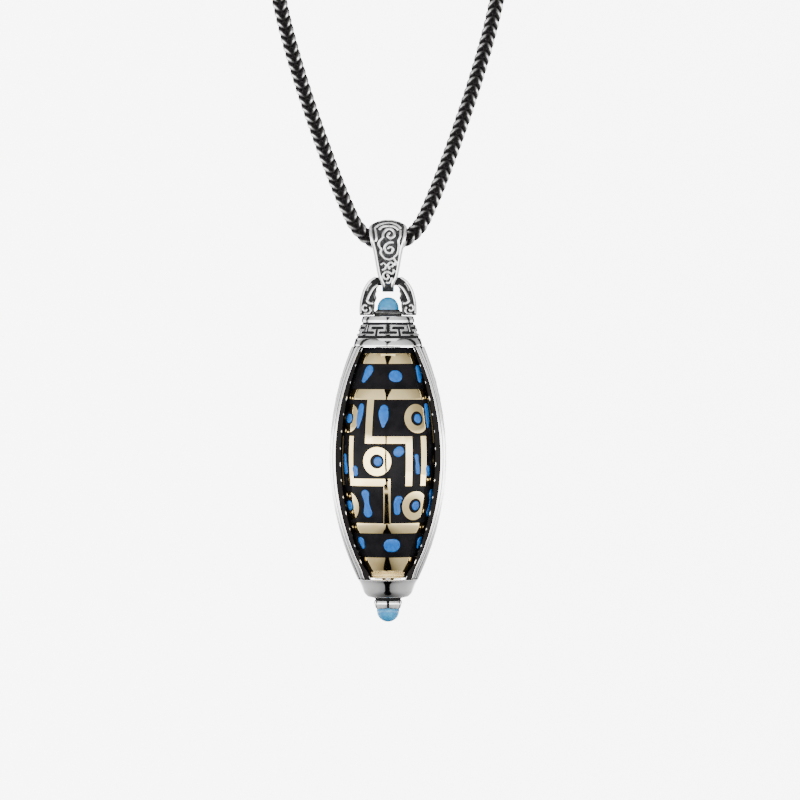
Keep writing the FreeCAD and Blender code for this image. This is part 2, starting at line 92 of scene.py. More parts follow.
def add_ramp(nodes, links, source, stops):
    """A colour ramp driven by a socket; stops are (position, colour)."""
    ramp = nodes.new("ShaderNodeValToRGB")
    elements = ramp.color_ramp.elements
    while len(elements) < len(stops):
        elements.new(0.5)
    for element, (position, colour) in zip(elements, stops):
        element.position = position
        element.color = (*colour, 1.0)
    links.new(source, ramp.inputs["Fac"])
    return ramp


def drive(links, shader, socket, ramp):
    links.new(ramp.outputs["Color"], shader.inputs[socket])


def set_inputs(node, **values):
    """Set a node's inputs; an underscore in a name stands for a space."""
    for name, value in values.items():
        node.inputs[name.replace("_", " ")].default_value = value


def add_bump(nodes, links, shader, source, depth_mm, strength=1.0):
    bump = nodes.new("ShaderNodeBump")
    bump.inputs["Distance"].default_value = depth_mm * MM
    bump.inputs["Strength"].default_value = strength
    links.new(source, bump.inputs["Height"])
    links.new(bump.outputs["Normal"], shader.inputs["Normal"])


def grey(value):
    return (value, value, value)


def polished_metal(name, colour, worn_colour, rough_low, rough_high):
    """Polished metal with faint buffing marks and a slightly uneven gloss."""
    material, nodes, links, shader = new_material(name)
    shader.inputs["Metallic"].default_value = 1.0
    clouds = add_noise(nodes, links, 0.6, 3.0)
    tint = add_ramp(nodes, links, clouds.outputs["Fac"], [(0.3, worn_colour), (0.6, colour)])
    drive(links, shader, "Base Color", tint)
    gloss = add_ramp(
        nodes, links, clouds.outputs["Fac"], [(0.3, grey(rough_high)), (0.65, grey(rough_low))]
    )
    drive(links, shader, "Roughness", gloss)
    marks = add_noise(nodes, links, 5.0, 2.0, (1, 1, 0.25))
    add_bump(nodes, links, shader, marks.outputs["Fac"], 0.0015, 0.35)
    return material


def oxidised_metal(name, bright, dark, attribute, dent=0.012):
    """Silver blackened with oxide where the attribute is high and rubbed bright where it is low; on some
    pieces the attribute also holds painted shade and painted highlights.
    """
    material, nodes, links, shader = new_material(name)
    oxide_and_painted_light = nodes.new("ShaderNodeAttribute")
    oxide_and_painted_light.attribute_name = attribute
    patches = add_noise(nodes, links, 3.5, 5.0)
    shift = nodes.new("ShaderNodeMath")
    shift.operation = "MULTIPLY_ADD"
    shift.inputs[1].default_value = 0.5
    shift.inputs[2].default_value = -0.25
    links.new(patches.outputs["Fac"], shift.inputs[0])
    total = nodes.new("ShaderNodeMath")
    total.operation = "ADD"
    total.use_clamp = True
    links.new(oxide_and_painted_light.outputs["Fac"], total.inputs[0])
    links.new(shift.outputs["Value"], total.inputs[1])
    colour = add_ramp(nodes, links, total.outputs["Value"], [
        (0.2, bright),
        (0.45, tuple(0.35 * c for c in bright)),
        (0.65, tuple(0.08 * c for c in bright)),
        (0.85, dark),
    ])
    drive(links, shader, "Base Color", colour)
    for socket, clean, darkened in (
        ("Roughness", 0.1, 0.6),
        ("Metallic", 1.0, 0.0),
        ("Specular IOR Level", 0.5, 0.02),
    ):
        change = add_ramp(
            nodes, links, total.outputs["Value"], [(0.45, grey(clean)), (0.85, grey(darkened))]
        )
        drive(links, shader, socket, change)
    add_bump(nodes, links, shader, patches.outputs["Fac"], dent, 0.5)
    return material


def enamel(name, deep, light, rough, cloud_scale, ior):
    """Glassy enamel in two close shades; a low ior keeps it deep and dark."""
    material, nodes, links, shader = new_material(name)
    clouds = add_noise(nodes, links, cloud_scale, 5.0)
    tint = add_ramp(nodes, links, clouds.outputs["Fac"], [(0.35, deep), (0.65, light)])
    drive(links, shader, "Base Color", tint)
    set_inputs(shader, Roughness=rough, IOR=ior)
    ripple = add_noise(nodes, links, 0.9, 2.0)
    add_bump(nodes, links, shader, ripple.outputs["Fac"], 0.006, 0.6)
    return material


def turquoise(name):
    """Polished turquoise: cloudy sky blue with a few paler and greener patches."""
    material, nodes, links, shader = new_material(name)
    clouds = add_noise(nodes, links, 1.3, 6.0)
    tint = add_ramp(nodes, links, clouds.outputs["Fac"], [
        (0.3, (0.012, 0.145, 0.32)),
        (0.5, (0.025, 0.21, 0.42)),
        (0.7, (0.06, 0.30, 0.52)),
    ])
    drive(links, shader, "Base Color", tint)
    set_inputs(
        shader, Roughness=0.22, Subsurface_Weight=0.15,
        Subsurface_Radius=(0.0003, 0.0004, 0.0006), IOR=1.35, Coat_Weight=0.15,
        Coat_Roughness=0.08,
    )
    grain = add_noise(nodes, links, 9.0, 3.0)
    add_bump(nodes, links, shader, grain.outputs["Fac"], 0.004, 0.5)
    return material


def paper(name):
    material, nodes, links, shader = new_material(name)
    fibres = add_noise(nodes, links, 2.0, 8.0, (1, 1, 0.3))
    tint = add_ramp(
        nodes, links, fibres.outputs["Fac"], [(0.3, (0.55, 0.47, 0.33)), (0.7, (0.75, 0.68, 0.52))]
    )
    drive(links, shader, "Base Color", tint)
    shader.inputs["Roughness"].default_value = 0.8
    add_bump(nodes, links, shader, fibres.outputs["Fac"], 0.02)
    return material


SILVER = (0.72, 0.715, 0.71)
SILVER_WORN = (0.64, 0.635, 0.63)
OXIDE = (0.012, 0.011, 0.011)
# How dark the silver is at each point: oxide in hollows, and on some pieces painted shade and painted
# highlights.
OXIDE_AND_PAINTED_LIGHT = "oxide_and_painted_light"

FINISH = {
    "polished_silver": polished_metal("polished_silver", SILVER, SILVER_WORN, 0.05, 0.11),
    "carved_silver": oxidised_metal("carved_silver", (0.8, 0.795, 0.79), (0.014, 0.014, 0.015), OXIDE_AND_PAINTED_LIGHT),
    "rib_silver": oxidised_metal("rib_silver", (0.9, 0.895, 0.89), OXIDE, OXIDE_AND_PAINTED_LIGHT, 0.003),
    "oxidised_silver": oxidised_metal("oxidised_silver", (0.88, 0.87, 0.86), OXIDE, OXIDE_AND_PAINTED_LIGHT),
    "gold": polished_metal("gold", (0.80, 0.64, 0.32), (0.72, 0.54, 0.24), 0.035, 0.08),
    "brass_core": polished_metal("brass_core", (0.78, 0.62, 0.32), (0.7, 0.52, 0.25), 0.2, 0.35),
    "steel": polished_metal("steel", (0.62, 0.62, 0.63), (0.55, 0.55, 0.56), 0.2, 0.32),
    "black_enamel": enamel("black_enamel", (0.004, 0.004, 0.005), (0.009, 0.008, 0.009), 0.22, 0.8, 1.12),
    "blue_enamel": enamel("blue_enamel", (0.006, 0.085, 0.34), (0.012, 0.125, 0.44), 0.3, 2.5, 1.3),
    "turquoise": turquoise("turquoise"),
    "paper": paper("paper"),
}


# ---- meshes


def show(name, data):
    """A new object in the scene."""
    obj = bpy.data.objects.new(name, data)
    bpy.context.scene.collection.objects.link(obj)
    return obj


def sheet_object(name, points, faces):
    """A new mesh object with its faces as they are given."""
    mesh = bpy.data.meshes.new(name)
    mesh.from_pydata([tuple(p) for p in points], [], faces)
    mesh.update()
    return show(name, mesh)


def mesh_object(name, points, faces, split=False):
    """A new mesh object in millimetres, faces outward; split cuts large faces to triangles."""
    obj = sheet_object(name, points, faces)
    mesh = obj.data
    work = bmesh.new()
    work.from_mesh(mesh)
    if split:
        bmesh.ops.triangulate(work, faces=[f for f in work.faces if len(f.verts) > 4])
    bmesh.ops.recalc_face_normals(work, faces=work.faces)
    work.to_mesh(mesh)
    work.free()
    return obj


def side_faces(rows, count, start=0, loop=False):
    """Faces that join each row of count points, closed to a ring, to the next row."""
    faces = []
    for row in range(rows if loop else rows - 1):
        a = start + row * count
        b = start + (row + 1) % rows * count
        for i in range(count):
            j = (i + 1) % count
            faces.append([a + i, a + j, b + j, b + i])
    return faces


def end_faces(rows, count, start=0):
    """The first and the last row of points, as one face each."""
    last = start + (rows - 1) * count
    return [list(range(start, start + count)), list(range(last, last + count))]


def join(name, objects):
    """One object from several, by adding up their meshes."""
    work = bmesh.new()
    for obj in objects:
        work.from_mesh(obj.data)
        bpy.data.objects.remove(obj)
    mesh = bpy.data.meshes.new(name)
    work.to_mesh(mesh)
    work.free()
    return show(name, mesh)


def apply_modifiers(obj):
    bpy.context.view_layer.update()
    graph = bpy.context.evaluated_depsgraph_get()
    mesh = bpy.data.meshes.new_from_object(obj.evaluated_get(graph))
    obj.modifiers.clear()
    obj.data = mesh


def settle(obj, finish, body, replaces=(), sharp=40):
    """Bring a finished piece into the frame, in metres, give it its finish and body, and hide the parts it
    replaces.
    """
    obj.data.transform(TO_FRAME)
    obj.data.materials.clear()
    obj.data.materials.append(FINISH[finish])
    obj.data.shade_smooth()
    obj.data.set_sharp_from_angle(angle=radians(sharp))
    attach(obj, body)
    if replaces:
        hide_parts(*replaces)
    return obj


def soften(corners, closed=True, steps=4):
    """Round each corner (x, y, fillet) of an outline with a short curve."""
    points = []
    count = len(corners)
    for index, corner in enumerate(corners):
        here = Vector(corner[:2])
        fillet = corner[2] if len(corner) > 2 else 0.0
        if fillet == 0 or (not closed and index in (0, count - 1)):
            points.append(here)
            continue
        before = Vector(corners[index - 1][:2]) - here
        after = Vector(corners[(index + 1) % count][:2]) - here
        first = here + before.normalized() * min(fillet, before.length * 0.45)
        last = here + after.normalized() * min(fillet, after.length * 0.45)
        for step in range(steps + 1):
            t = step / steps
            points.append(first * (1 - t) ** 2 + here * 2 * t * (1 - t) + last * t**2)
    return points


def lathe(name, profile, closed=True, steps=160, shape=None):
    """Turn a profile of (radius, height) about the axle; shape can move each point."""
    points = []
    rings = []
    for radius, height in profile:
        if radius < 1e-6:
            rings.append([len(points)] * steps)
            points.append((0, 0, height))
            continue
        rings.append(list(range(len(points), len(points) + steps)))
        for step in range(steps):
            angle = TURN * step / steps
            r, z = shape(angle, radius, height) if shape else (radius, height)
            points.append((r * cos(angle), r * sin(angle), z))
    pairs = list(zip(rings, rings[1:]))
    if closed:
        pairs.append((rings[-1], rings[0]))
    faces = []
    for low, high in pairs:
        for step in range(steps):
            after = (step + 1) % steps
            face = [low[step], low[after], high[after], high[step]]
            face = list(dict.fromkeys(face))
            if len(face) > 2:
                faces.append(face)
    return mesh_object(name, points, faces)


def sweep(name, points, radii, sides=10, closed=False, up=Vector((0, 1, 0))):
    """A bead of round section along points; radii is one radius, or one for each point."""
    count = len(points)
    verts = []
    for index, point in enumerate(points):
        ahead = points[(index + 1) % count] if closed or index + 1 < count else point
        behind = points[index - 1] if closed or index > 0 else point
        along = (ahead - behind).normalized()
        side = along.cross(up).normalized()
        rise = side.cross(along).normalized()
        radius = radii[index] if hasattr(radii, "__len__") else radii
        for step in range(sides):
            angle = TURN * step / sides
            verts.append(point + side * radius * cos(angle) + rise * radius * sin(angle))
    faces = side_faces(count, sides, loop=closed)
    for end in () if closed else (0, count - 1):
        ring = [end * sides + step for step in range(sides)]
        faces += [[ring[s], ring[(s + 1) % sides], len(verts)] for s in range(sides)]
        verts.append(points[end])
    return mesh_object(name, verts, faces)


def smooth_line(points, steps=8):
    """A smooth curve through a few points, by Catmull-Rom."""
    points = [Vector(p) for p in points]
    padded = [points[0] * 2 - points[1], *points, points[-1] * 2 - points[-2]]
    line = []
    for a, b, c, d in zip(padded, padded[1:], padded[2:], padded[3:]):
        for step in range(steps):
            t = step / steps
            line.append(
                0.5 * (2 * b + (c - a) * t + (2 * a - 5 * b + 4 * c - d) * t**2
                       + (3 * b - a - 3 * c + d) * t**3)
            )
    line.append(points[-1])
    return line


def spiral(centre, outer, inner, start, turns, steps=56):
    """Points of a flat spiral in x and z that winds in from outer to inner radius."""
    points = []
    for step in range(steps + 1):
        t = step / steps
        angle = radians(start) + TURN * turns * t
        radius = outer + (inner - outer) * t**0.8
        points.append((centre[0] + radius * cos(angle), centre[1] + radius * sin(angle)))
    return points


MELT_SIZE = 0.045


def remesh(obj):
    """Melt overlapping closed shapes into one cast-looking skin."""
    modifier = obj.modifiers.new("melt", "REMESH")
    modifier.mode = "VOXEL"
    modifier.voxel_size = MELT_SIZE
    modifier.use_smooth_shade = True
    relax = obj.modifiers.new("relax", "SMOOTH")
    relax.factor = 0.5
    relax.iterations = 2
    apply_modifiers(obj)


def paint(obj, rule):
    """Write how dark the silver is at each point, from 0 to 1, in millimetre coordinates."""
    layer = obj.data.attributes.get(OXIDE_AND_PAINTED_LIGHT) or obj.data.attributes.new(OXIDE_AND_PAINTED_LIGHT, "FLOAT", "POINT")
    values = [min(1.0, max(0.0, rule(vertex.co))) for vertex in obj.data.vertices]
    layer.data.foreach_set("value", values)


def tree_of(lines):
    """A search tree of every point of several lines."""
    points = [p for line in lines for p in line]
    tree = kdtree.KDTree(len(points))
    for index, point in enumerate(points):
        tree.insert(point, index)
    tree.balance()
    return tree


def ramp_between(value, low, high):
    t = min(1.0, max(0.0, (value - low) / (high - low)))
    return t * t * (3 - 2 * t)


# ---- chain

CHAIN_DIAMETER = 1.87
CHAIN_HALF = [
    (6.7, 77.6), (8.7, 77.6), (10.92, 75.75), (12.03, 72.35), (11.96, 68.1), (10.97, 63.0),
    (9.47, 57.6), (7.74, 52.3), (5.86, 47.1), (4.36, 43.4), (3.24, 41.05), (1.3, 39.55),
]
LINK_PITCH = 0.92
LINK_LEAN = 0.6
OUTER_WIRE, OUTER_SINK = 0.29, 0.24
INNER_WIRE, INNER_SINK, INNER_SHADE = 0.22, 0.42, 0.45


def chain_centreline():
    """The chain's smooth line through its route, read from a NURBS spline, in millimetres."""
    right = [Vector((x, 0, z)) for x, z in CHAIN_HALF]
    left = [Vector((-p.x, 0, p.z)) for p in reversed(right)]
    route = right + left
    curve = bpy.data.curves.new("chain_route", "CURVE")
    curve.dimensions = "3D"
    curve.resolution_u = 24
    spline = curve.splines.new("NURBS")
    spline.points.add(len(route) - 1)
    for point, place in zip(spline.points, route):
        point.co = (*place, 1.0)
    spline.order_u = 3
    spline.use_endpoint_u = True
    obj = show("chain_route", curve)
    bpy.context.view_layer.update()
    mesh = bpy.data.meshes.new_from_object(obj)
    line = [vertex.co.copy() for vertex in mesh.vertices]
    bpy.data.objects.remove(obj)
    return line


class Walk:
    """Places along a line by distance, for a line that lies in the plane of the front."""

    def __init__(self, line):
        self.line = line
        self.marks = [0.0]
        for a, b in zip(line, line[1:]):
            self.marks.append(self.marks[-1] + (b - a).length)
        self.length = self.marks[-1]
        self.span = 0

    def frame(self, distance):
        """The point there, the way along and the way across."""
        distance = min(max(distance, 0.0), self.length)
        while self.span > 0 and self.marks[self.span] > distance:
            self.span -= 1
        while self.span < len(self.line) - 2 and self.marks[self.span + 1] < distance:
            self.span += 1
        a, b = self.line[self.span], self.line[self.span + 1]
        width = self.marks[self.span + 1] - self.marks[self.span]
        t = (distance - self.marks[self.span]) / width
        along = (b - a).normalized()
        return a.lerp(b, t), along, along.cross(Vector((0, 1, 0))).normalized()


def chain_link(walk, middle, reach, wire, quarter, verts, faces, oxide_and_sheen, dark):
    """One saddle-shaped link round the chain's middle line, fat along its four arms."""
    around, section = 48, 10
    start = len(verts)
    for step in range(around):
        angle = TURN * step / around
        arm = sin(2 * angle) ** 2
        sway = cos(2 * angle + quarter * pi)
        place, along, across = walk.frame(middle + LINK_LEAN * sway)
        out = across * cos(angle) + Vector((0, 1, 0)) * sin(angle)
        tangent = (
            (-across * sin(angle) + Vector((0, 1, 0)) * cos(angle)) * reach
            - along * LINK_LEAN * 2 * sin(2 * angle + quarter * pi)
        ).normalized()
        binormal = tangent.cross(out).normalized()
        thick = wire * (0.5 + 0.5 * arm)
        here = reach * (0.9 + 0.1 * arm)
        for corner in range(section):
            turn = TURN * corner / section
            offset = out * cos(turn) * thick * 0.85 + binormal * sin(turn) * thick
            verts.append(place + out * here + offset)
            # Painted highlight: the crest of each wire on the arms is bright, the rest dark as oxide; the
            # inner set is dimmed as painted shade.
            crest = ramp_between(cos(turn), 0.7, 1.0)
            oxide_and_sheen.append(0.95 - 0.85 * crest * arm * (1.0 - dark))
    faces.extend(side_faces(around, section, start, loop=True))


def make_chain():
    line = chain_centreline()
    walk = Walk(line)
    verts, faces, oxide_and_sheen = [], [], []
    radius = CHAIN_DIAMETER / 2
    count = int(walk.length / LINK_PITCH)
    pitch = walk.length / count
    for index in range(count):
        middle = pitch * (index + 0.5)
        reach = radius - OUTER_SINK
        chain_link(walk, middle, reach, OUTER_WIRE, 0, verts, faces, oxide_and_sheen, 0.0)
        middle += pitch / 2
        reach = radius - INNER_SINK
        chain_link(walk, middle, reach, INNER_WIRE, 1, verts, faces, oxide_and_sheen, INNER_SHADE)
    links = mesh_object("chain_links", verts, faces)
    layer = links.data.attributes.new(OXIDE_AND_PAINTED_LIGHT, "FLOAT", "POINT")
    layer.data.foreach_set("value", oxide_and_sheen)
    core = sweep("chain_core", line, radius * 0.5, sides=12)
    # The core is black throughout: oxide and the painted shade deep inside the weave.
    paint(core, lambda point: 1.0)
    chain = settle(join("chain_woven", [links, core]), "oxidised_silver", "chain", ["chain"], 80)
    pieces = make_chain_ends()


def make_chain_ends():
    """Turned end caps with a rolled lip and an eye, and the ring that joins them."""
    pieces = []
    middle = (low_of("hanging_ring") + top_of("hanging_ring")) / 2
    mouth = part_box("chain_end_cap_right")[1].x / MM
    for side, name in ((1, "right"), (-1, "left")):
        profile = soften([
            (0.0, 0.25), (0.96, 0.25), (0.96, 0.0, 0.05), (1.25, 0.0, 0.1), (1.25, 0.45, 0.1),
            (1.12, 0.55, 0.06), (1.12, 1.0, 0.05), (1.2, 1.1, 0.05), (1.2, 1.4, 0.05),
            (1.1, 1.5, 0.05), (1.1, 2.5, 0.3), (0.8, 3.5, 0.5), (0.55, 3.95, 0.1), (0.0, 4.0),
        ], closed=False)
        cap = lathe("cap_barrel", profile, closed=False, steps=72)
        circle = [
            Vector((0, 0.76 * cos(a), 4.7 + 0.76 * sin(a)))
            for a in (TURN * s / 48 for s in range(48))
        ]
        eye = sweep("cap_eye", circle, 0.22, sides=12, closed=True, up=Vector((1, 0, 0)))
        piece = join(f"chain_end_cap_{name}_look", [cap, eye])
        turn = Matrix.Rotation(-side * pi / 2, 4, "Y")
        piece.data.transform(Matrix.Translation((side * mouth, 0, middle)) @ turn)
        node = f"chain_end_cap_{name}"
        pieces.append(settle(piece, "polished_silver", "chain", [node]))
    circle = [
        Vector((2.0 * cos(a), 0, middle + 2.0 * sin(a)))
        for a in (TURN * s / 96 for s in range(96))
    ]
    ring = sweep("hanging_ring_look", circle, 0.39, sides=20, closed=True)
    pieces.append(settle(ring, "polished_silver", "chain", ["hanging_ring"]))
    return pieces


# ---- bail

BAIL_EYE = (low_of("bail") + top_of("bail")) / 2 + 1.73
BAIL_OUTLINE = [
    (34.3, 0.62), (35.3, 0.66), (36.3, 1.08), (38.7, 1.52), (39.9, 1.82), (41.0, 1.97),
    (41.4, 1.82), (41.7, 1.45), (41.9, 0.95), (42.05, 0.3),
]
BAIL_EYE_RADIUS = 1.55
BAIL_SKIN_RADIUS = 2.0
LOOP_HEIGHT = 35.6
LOOP_HOLE = 0.72
LOOP_SKIN_RADIUS = 1.12
WEB_FOOT = LOOP_HEIGHT + LOOP_HOLE + 0.04
WEB_TOP = 39.3
WEB_EYE_RADIUS = BAIL_EYE_RADIUS * 1.02
RIM_INSET = 0.16

BAIL_EDGE = smooth_line([(half, 0, height) for height, half in BAIL_OUTLINE], 12)


def bail_half_width(height):
    for below, above in zip(BAIL_EDGE, BAIL_EDGE[1:]):
        if height <= above.z:
            t = max(0.0, (height - below.z) / (above.z - below.z))
            return below.x + (above.x - below.x) * t
    return BAIL_EDGE[-1].x


def bail_skin(height):
    """How far in front of the middle the bail's skin is at a height."""
    rise = BAIL_EYE - LOOP_HEIGHT
    tilt = asin((BAIL_SKIN_RADIUS - LOOP_SKIN_RADIUS) / rise)
    low = LOOP_HEIGHT - LOOP_SKIN_RADIUS * sin(tilt)
    high = BAIL_EYE - BAIL_SKIN_RADIUS * sin(tilt)
    if height < low:
        return sqrt(max(LOOP_SKIN_RADIUS**2 - (height - LOOP_HEIGHT) ** 2, 0.0))
    if height > high:
        return sqrt(max(BAIL_SKIN_RADIUS**2 - (height - BAIL_EYE) ** 2, 0.0))
    t = (height - low) / (high - low)
    return cos(tilt) * (LOOP_SKIN_RADIUS * (1 - t) + BAIL_SKIN_RADIUS * t)


def bail_lift(point):
    """How far a point stands out from the bail's skin."""
    reach = abs(point.y)
    if point.z > BAIL_EYE:
        return hypot(reach, point.z - BAIL_EYE) - BAIL_SKIN_RADIUS
    if point.z < LOOP_HEIGHT:
        return hypot(reach, point.z - LOOP_HEIGHT) - LOOP_SKIN_RADIUS
    return reach - bail_skin(point.z)


def bail_slab(name, outline):
    """A slab from an outline in y and z, as wide as the bail is at each height."""
    verts = [(side * bail_half_width(z), y, z) for side in (-1, 1) for y, z in outline]
    faces = end_faces(2, len(outline)) + side_faces(2, len(outline))
    return mesh_object(name, verts, faces, split=True)


def bail_ring(name, height, inner, outer, steps=96):
    """A flat ring round an eye, as wide as the bail is at each height."""
    verts, faces = [], []
    for step in range(steps):
        angle = TURN * step / steps
        for radius in (inner, outer):
            z = height + radius * sin(angle)
            verts += [(side * bail_half_width(z), radius * cos(angle), z) for side in (-1, 1)]
        a = step * 4
        b = (step + 1) % steps * 4
        faces += [[a + i, a + j, b + j, b + i] for i, j in ((0, 1), (2, 3), (0, 2), (1, 3))]
    return mesh_object(name, verts, faces)


def make_bail():
    web = [(bail_skin(WEB_FOOT), WEB_FOOT), (bail_skin(WEB_TOP), WEB_TOP)]
    web += [
        (WEB_EYE_RADIUS * cos(a), BAIL_EYE + WEB_EYE_RADIUS * sin(a))
        for a in (radians(-20 - 140 * s / 28) for s in range(29))
    ]
    web += [(-bail_skin(WEB_TOP), WEB_TOP), (-bail_skin(WEB_FOOT), WEB_FOOT)]
    parts = [
        bail_ring("bail_eye", BAIL_EYE, BAIL_EYE_RADIUS, BAIL_SKIN_RADIUS),
        bail_ring("bail_loop", LOOP_HEIGHT, LOOP_HOLE, LOOP_SKIN_RADIUS),
        bail_slab("bail_web", web),
    ]
    heights = [35.0 + 6.95 * s / 48 for s in range(49)]
    for side in (1, -1):
        for face in (1, -1):
            rim = [
                Vector((side * (bail_half_width(z) - RIM_INSET), face * bail_skin(z), z))
                for z in heights
            ]
            radii = [0.18 - 0.14 * ramp_between(z, 41.2, 41.8) for z in heights]
            parts.append(sweep("rim", rim, radii, up=Vector((1, 0, 0))))
    for face in (1, -1):
        for drawing, radius in bail_scrolls():
            line = [Vector((x * -face, face * bail_skin(z), z)) for x, z in drawing]
            parts.append(sweep("scroll", line, radius))
    bail = join("bail_look", parts)
    remesh(bail)

    def darkness(point):
        """Bright crests, grey flanks of painted shade and a black ground of oxide, with bright side rims.
        """
        if abs(point.x) > bail_half_width(point.z) - 0.1:
            return 0.2
        return 0.8 - 0.75 * ramp_between(bail_lift(point), 0.0, 0.12)

    paint(bail, darkness)
    settle(bail, "carved_silver", "bail", ["bail"], 80)


def bail_scrolls():
    """Raised lines on the bail's face: four spirals, the stems that join them and arcs above."""
    drawings = [
        (spiral((0.22, 40.42), 0.80, 0.12, 205, -1.35), 0.16),
        (spiral((0.20, 38.93), 0.76, 0.12, 60, 1.3), 0.16),
        (spiral((0.34, 37.25), 0.42, 0.12, 250, -1.1), 0.13),
        (spiral((-0.14, 36.10), 0.56, 0.12, 20, 1.2), 0.14),
    ]
    stems = [
        [(-0.56, 40.1), (-0.9, 39.75), (-0.95, 39.3), (-0.72, 38.9), (-0.72, 38.4), (-0.35, 37.95)],
        [(-1.35, 41.1), (-1.25, 40.6), (-1.2, 40.1), (-1.3, 39.7)],
        [(1.3, 40.9), (1.28, 40.3), (1.1, 39.8), (1.12, 39.2), (1.0, 38.5), (0.6, 38.05)],
        [(-1.4, 41.1), (-0.9, 41.45), (-0.3, 41.6), (0.3, 41.62), (0.9, 41.45), (1.4, 41.05)],
        [(-0.95, 40.95), (-0.55, 41.25), (0.1, 41.32), (0.7, 41.22), (1.1, 40.9)],
        [(-0.35, 37.95), (0.1, 37.85), (0.55, 37.95), (0.8, 37.6), (0.74, 37.2)],
        [(-0.75, 37.3), (-0.45, 37.45), (-0.2, 37.2), (-0.3, 36.9), (-0.62, 36.75)],
        [(0.42, 36.3), (0.62, 36.6), (0.55, 36.85)],
        [(0.4, 36.0), (0.3, 35.6), (0.05, 35.4), (-0.2, 35.5)],
        [(-1.0, 41.74), (-0.5, 41.86), (0.0, 41.9), (0.5, 41.86), (1.0, 41.74)],
    ]
    for stem in stems:
        line = smooth_line([(x, 0, z) for x, z in stem], 10)
        drawings.append(([(p.x, p.z) for p in line], 0.135))
    return drawings


# ---- arch

ARCH_RIDGES = [
    ([(1.3, 36.02), (1.97, 35.52), (2.49, 34.67), (2.79, 33.6), (2.86, 32.9), (2.88, 32.25)], 0.125, 0.05),
    ([(1.05, 35.2), (1.5, 34.9), (1.92, 34.25), (2.16, 33.65), (1.98, 33.35), (1.68, 33.25)], 0.15, 0.15),
    ([(2.2, 33.0), (2.42, 33.12), (2.62, 32.95), (2.58, 32.62), (2.35, 32.5), (2.18, 32.68)], 0.125, 0.2),
    ([(1.72, 35.42), (2.05, 35.05), (2.2, 34.6)], 0.12, 0.5),
    ([(1.9, 32.95), (1.82, 32.6), (2.0, 32.25), (2.5, 32.2)], 0.135, 0.35),
    ([(1.25, 34.65), (1.42, 34.25), (1.28, 33.75)], 0.14, 0.8),
    ([(1.55, 33.55), (1.5, 33.1), (1.56, 32.6), (1.52, 32.15)], 0.14, 0.8),
]
ARCH_FOOT_DEPTH = 0.95
ARCH_TOP_DEPTH = 0.42


def arch_depth(height):
    t = (height - 32.0) / 4.1
    return ARCH_FOOT_DEPTH * (1 - t) + ARCH_TOP_DEPTH * t


def arch_edge(height):
    """Half the arch's outer width at a height."""
    return 3.0 - 1.75 * ((height - 32.1) / 4.0) ** 2


def make_arch():
    outline = smooth_line(
        [(x, 0, z) for x, z in (
            (2.95, 32.05), (2.98, 32.8), (2.85, 33.8), (2.55, 34.7), (2.0, 35.5), (1.25, 36.0),
        )]
    )
    outline += smooth_line(
        [(x, 0, z) for x, z in (
            (0.98, 35.2), (1.2, 34.75), (1.38, 34.2), (1.25, 33.65), (1.5, 33.1), (1.5, 32.05),
        )]
    )
    parts = []
    ridges = []
    for side in (1, -1):
        verts = [
            (side * p.x, face * (arch_depth(p.z) - 0.1), p.z) for face in (-1, 1) for p in outline
        ]
        faces = end_faces(2, len(outline)) + side_faces(2, len(outline))
        parts.append(mesh_object("arm", verts, faces, split=True))
        for drawing, radius, tone in ARCH_RIDGES:
            for face in (1, -1):
                line = [
                    Vector((side * p.x, face * (arch_depth(p.z) - 0.12), p.z))
                    for p in smooth_line([(x, 0, z) for x, z in drawing], 9)
                ]
                parts.append(sweep("leaf", line, radius))
                ridges.append((tree_of([line]), radius, tone))
    bar = [Vector((x, 0, 35.6)) for x in (-1.4, -0.7, 0.0, 0.7, 1.4)]
    parts.append(sweep("bar", bar, 0.44, sides=32))
    arch = join("crown_arch_look", parts)
    remesh(arch)

    def darkness(point):
        """Bright crests on the ridges, black between them and inside the arch."""
        near, tone = min((tree.find(point)[2] / radius, tone) for tree, radius, tone in ridges)
        lift = abs(point.y) - arch_depth(point.z) + 0.1
        crest = ramp_between(lift, 0.0, 0.1) * (1.0 - ramp_between(near, 1.0, 1.3))
        outside = ramp_between(abs(point.x), arch_edge(point.z) - 0.12, arch_edge(point.z) - 0.04)
        side = outside if abs(point.y) < arch_depth(point.z) - 0.2 else 0.0
        return 0.85 - 0.83 * max(crest * (1.0 - tone), side * 0.6)

    paint(arch, darkness)
    settle(arch, "carved_silver", "frame", ["crown_arch"], 80)


# ---- crown

FRET_REPEATS = 8
FRET_LOW = 29.78
FRET_HIGH = 31.2
FRET_WIDTH = 0.125
FRET_DEPTH = 0.16
FRET_RADIUS = 3.1
BAND_LOW, BAND_LOW_RADIUS = 29.66, 3.42
BAND_HIGH, BAND_HIGH_RADIUS = 31.3, 2.78
HANGING_LEVEL = 30.25
STANDING_LEVEL = 30.73


def fret_depth(angle, height):
    """How deep the groove is, from 0 to 1: T shapes that stand and hang in turn."""
    turn = TURN / FRET_REPEATS
    hanging = (angle + pi / 2 + turn / 2) % turn - turn / 2
    standing = (angle + pi / 2) % turn - turn / 2
    gaps = [
        abs(height - FRET_LOW),
        abs(height - FRET_HIGH),
        box_gap(hanging * FRET_RADIUS, height, HANGING_LEVEL, FRET_HIGH),
        box_gap(standing * FRET_RADIUS, height, FRET_LOW, STANDING_LEVEL),
        bar_gap(hanging * FRET_RADIUS, height, 0.84, HANGING_LEVEL),
        bar_gap(standing * FRET_RADIUS, height, 0.64, STANDING_LEVEL),
    ]
    return 1.0 - ramp_between(min(gaps), FRET_WIDTH * 0.7, FRET_WIDTH * 1.25)


def box_gap(across, height, low, high):
    """Distance from an upright stroke."""
    over = max(low - height, height - high, 0.0)
    return hypot(across, over)


def bar_gap(across, height, half, level):
    """Distance from a level stroke."""
    over = max(abs(across) - half, 0.0)
    return hypot(over, height - level)


def on_band(height):
    return BAND_LOW - 0.02 < height < BAND_HIGH + 0.01


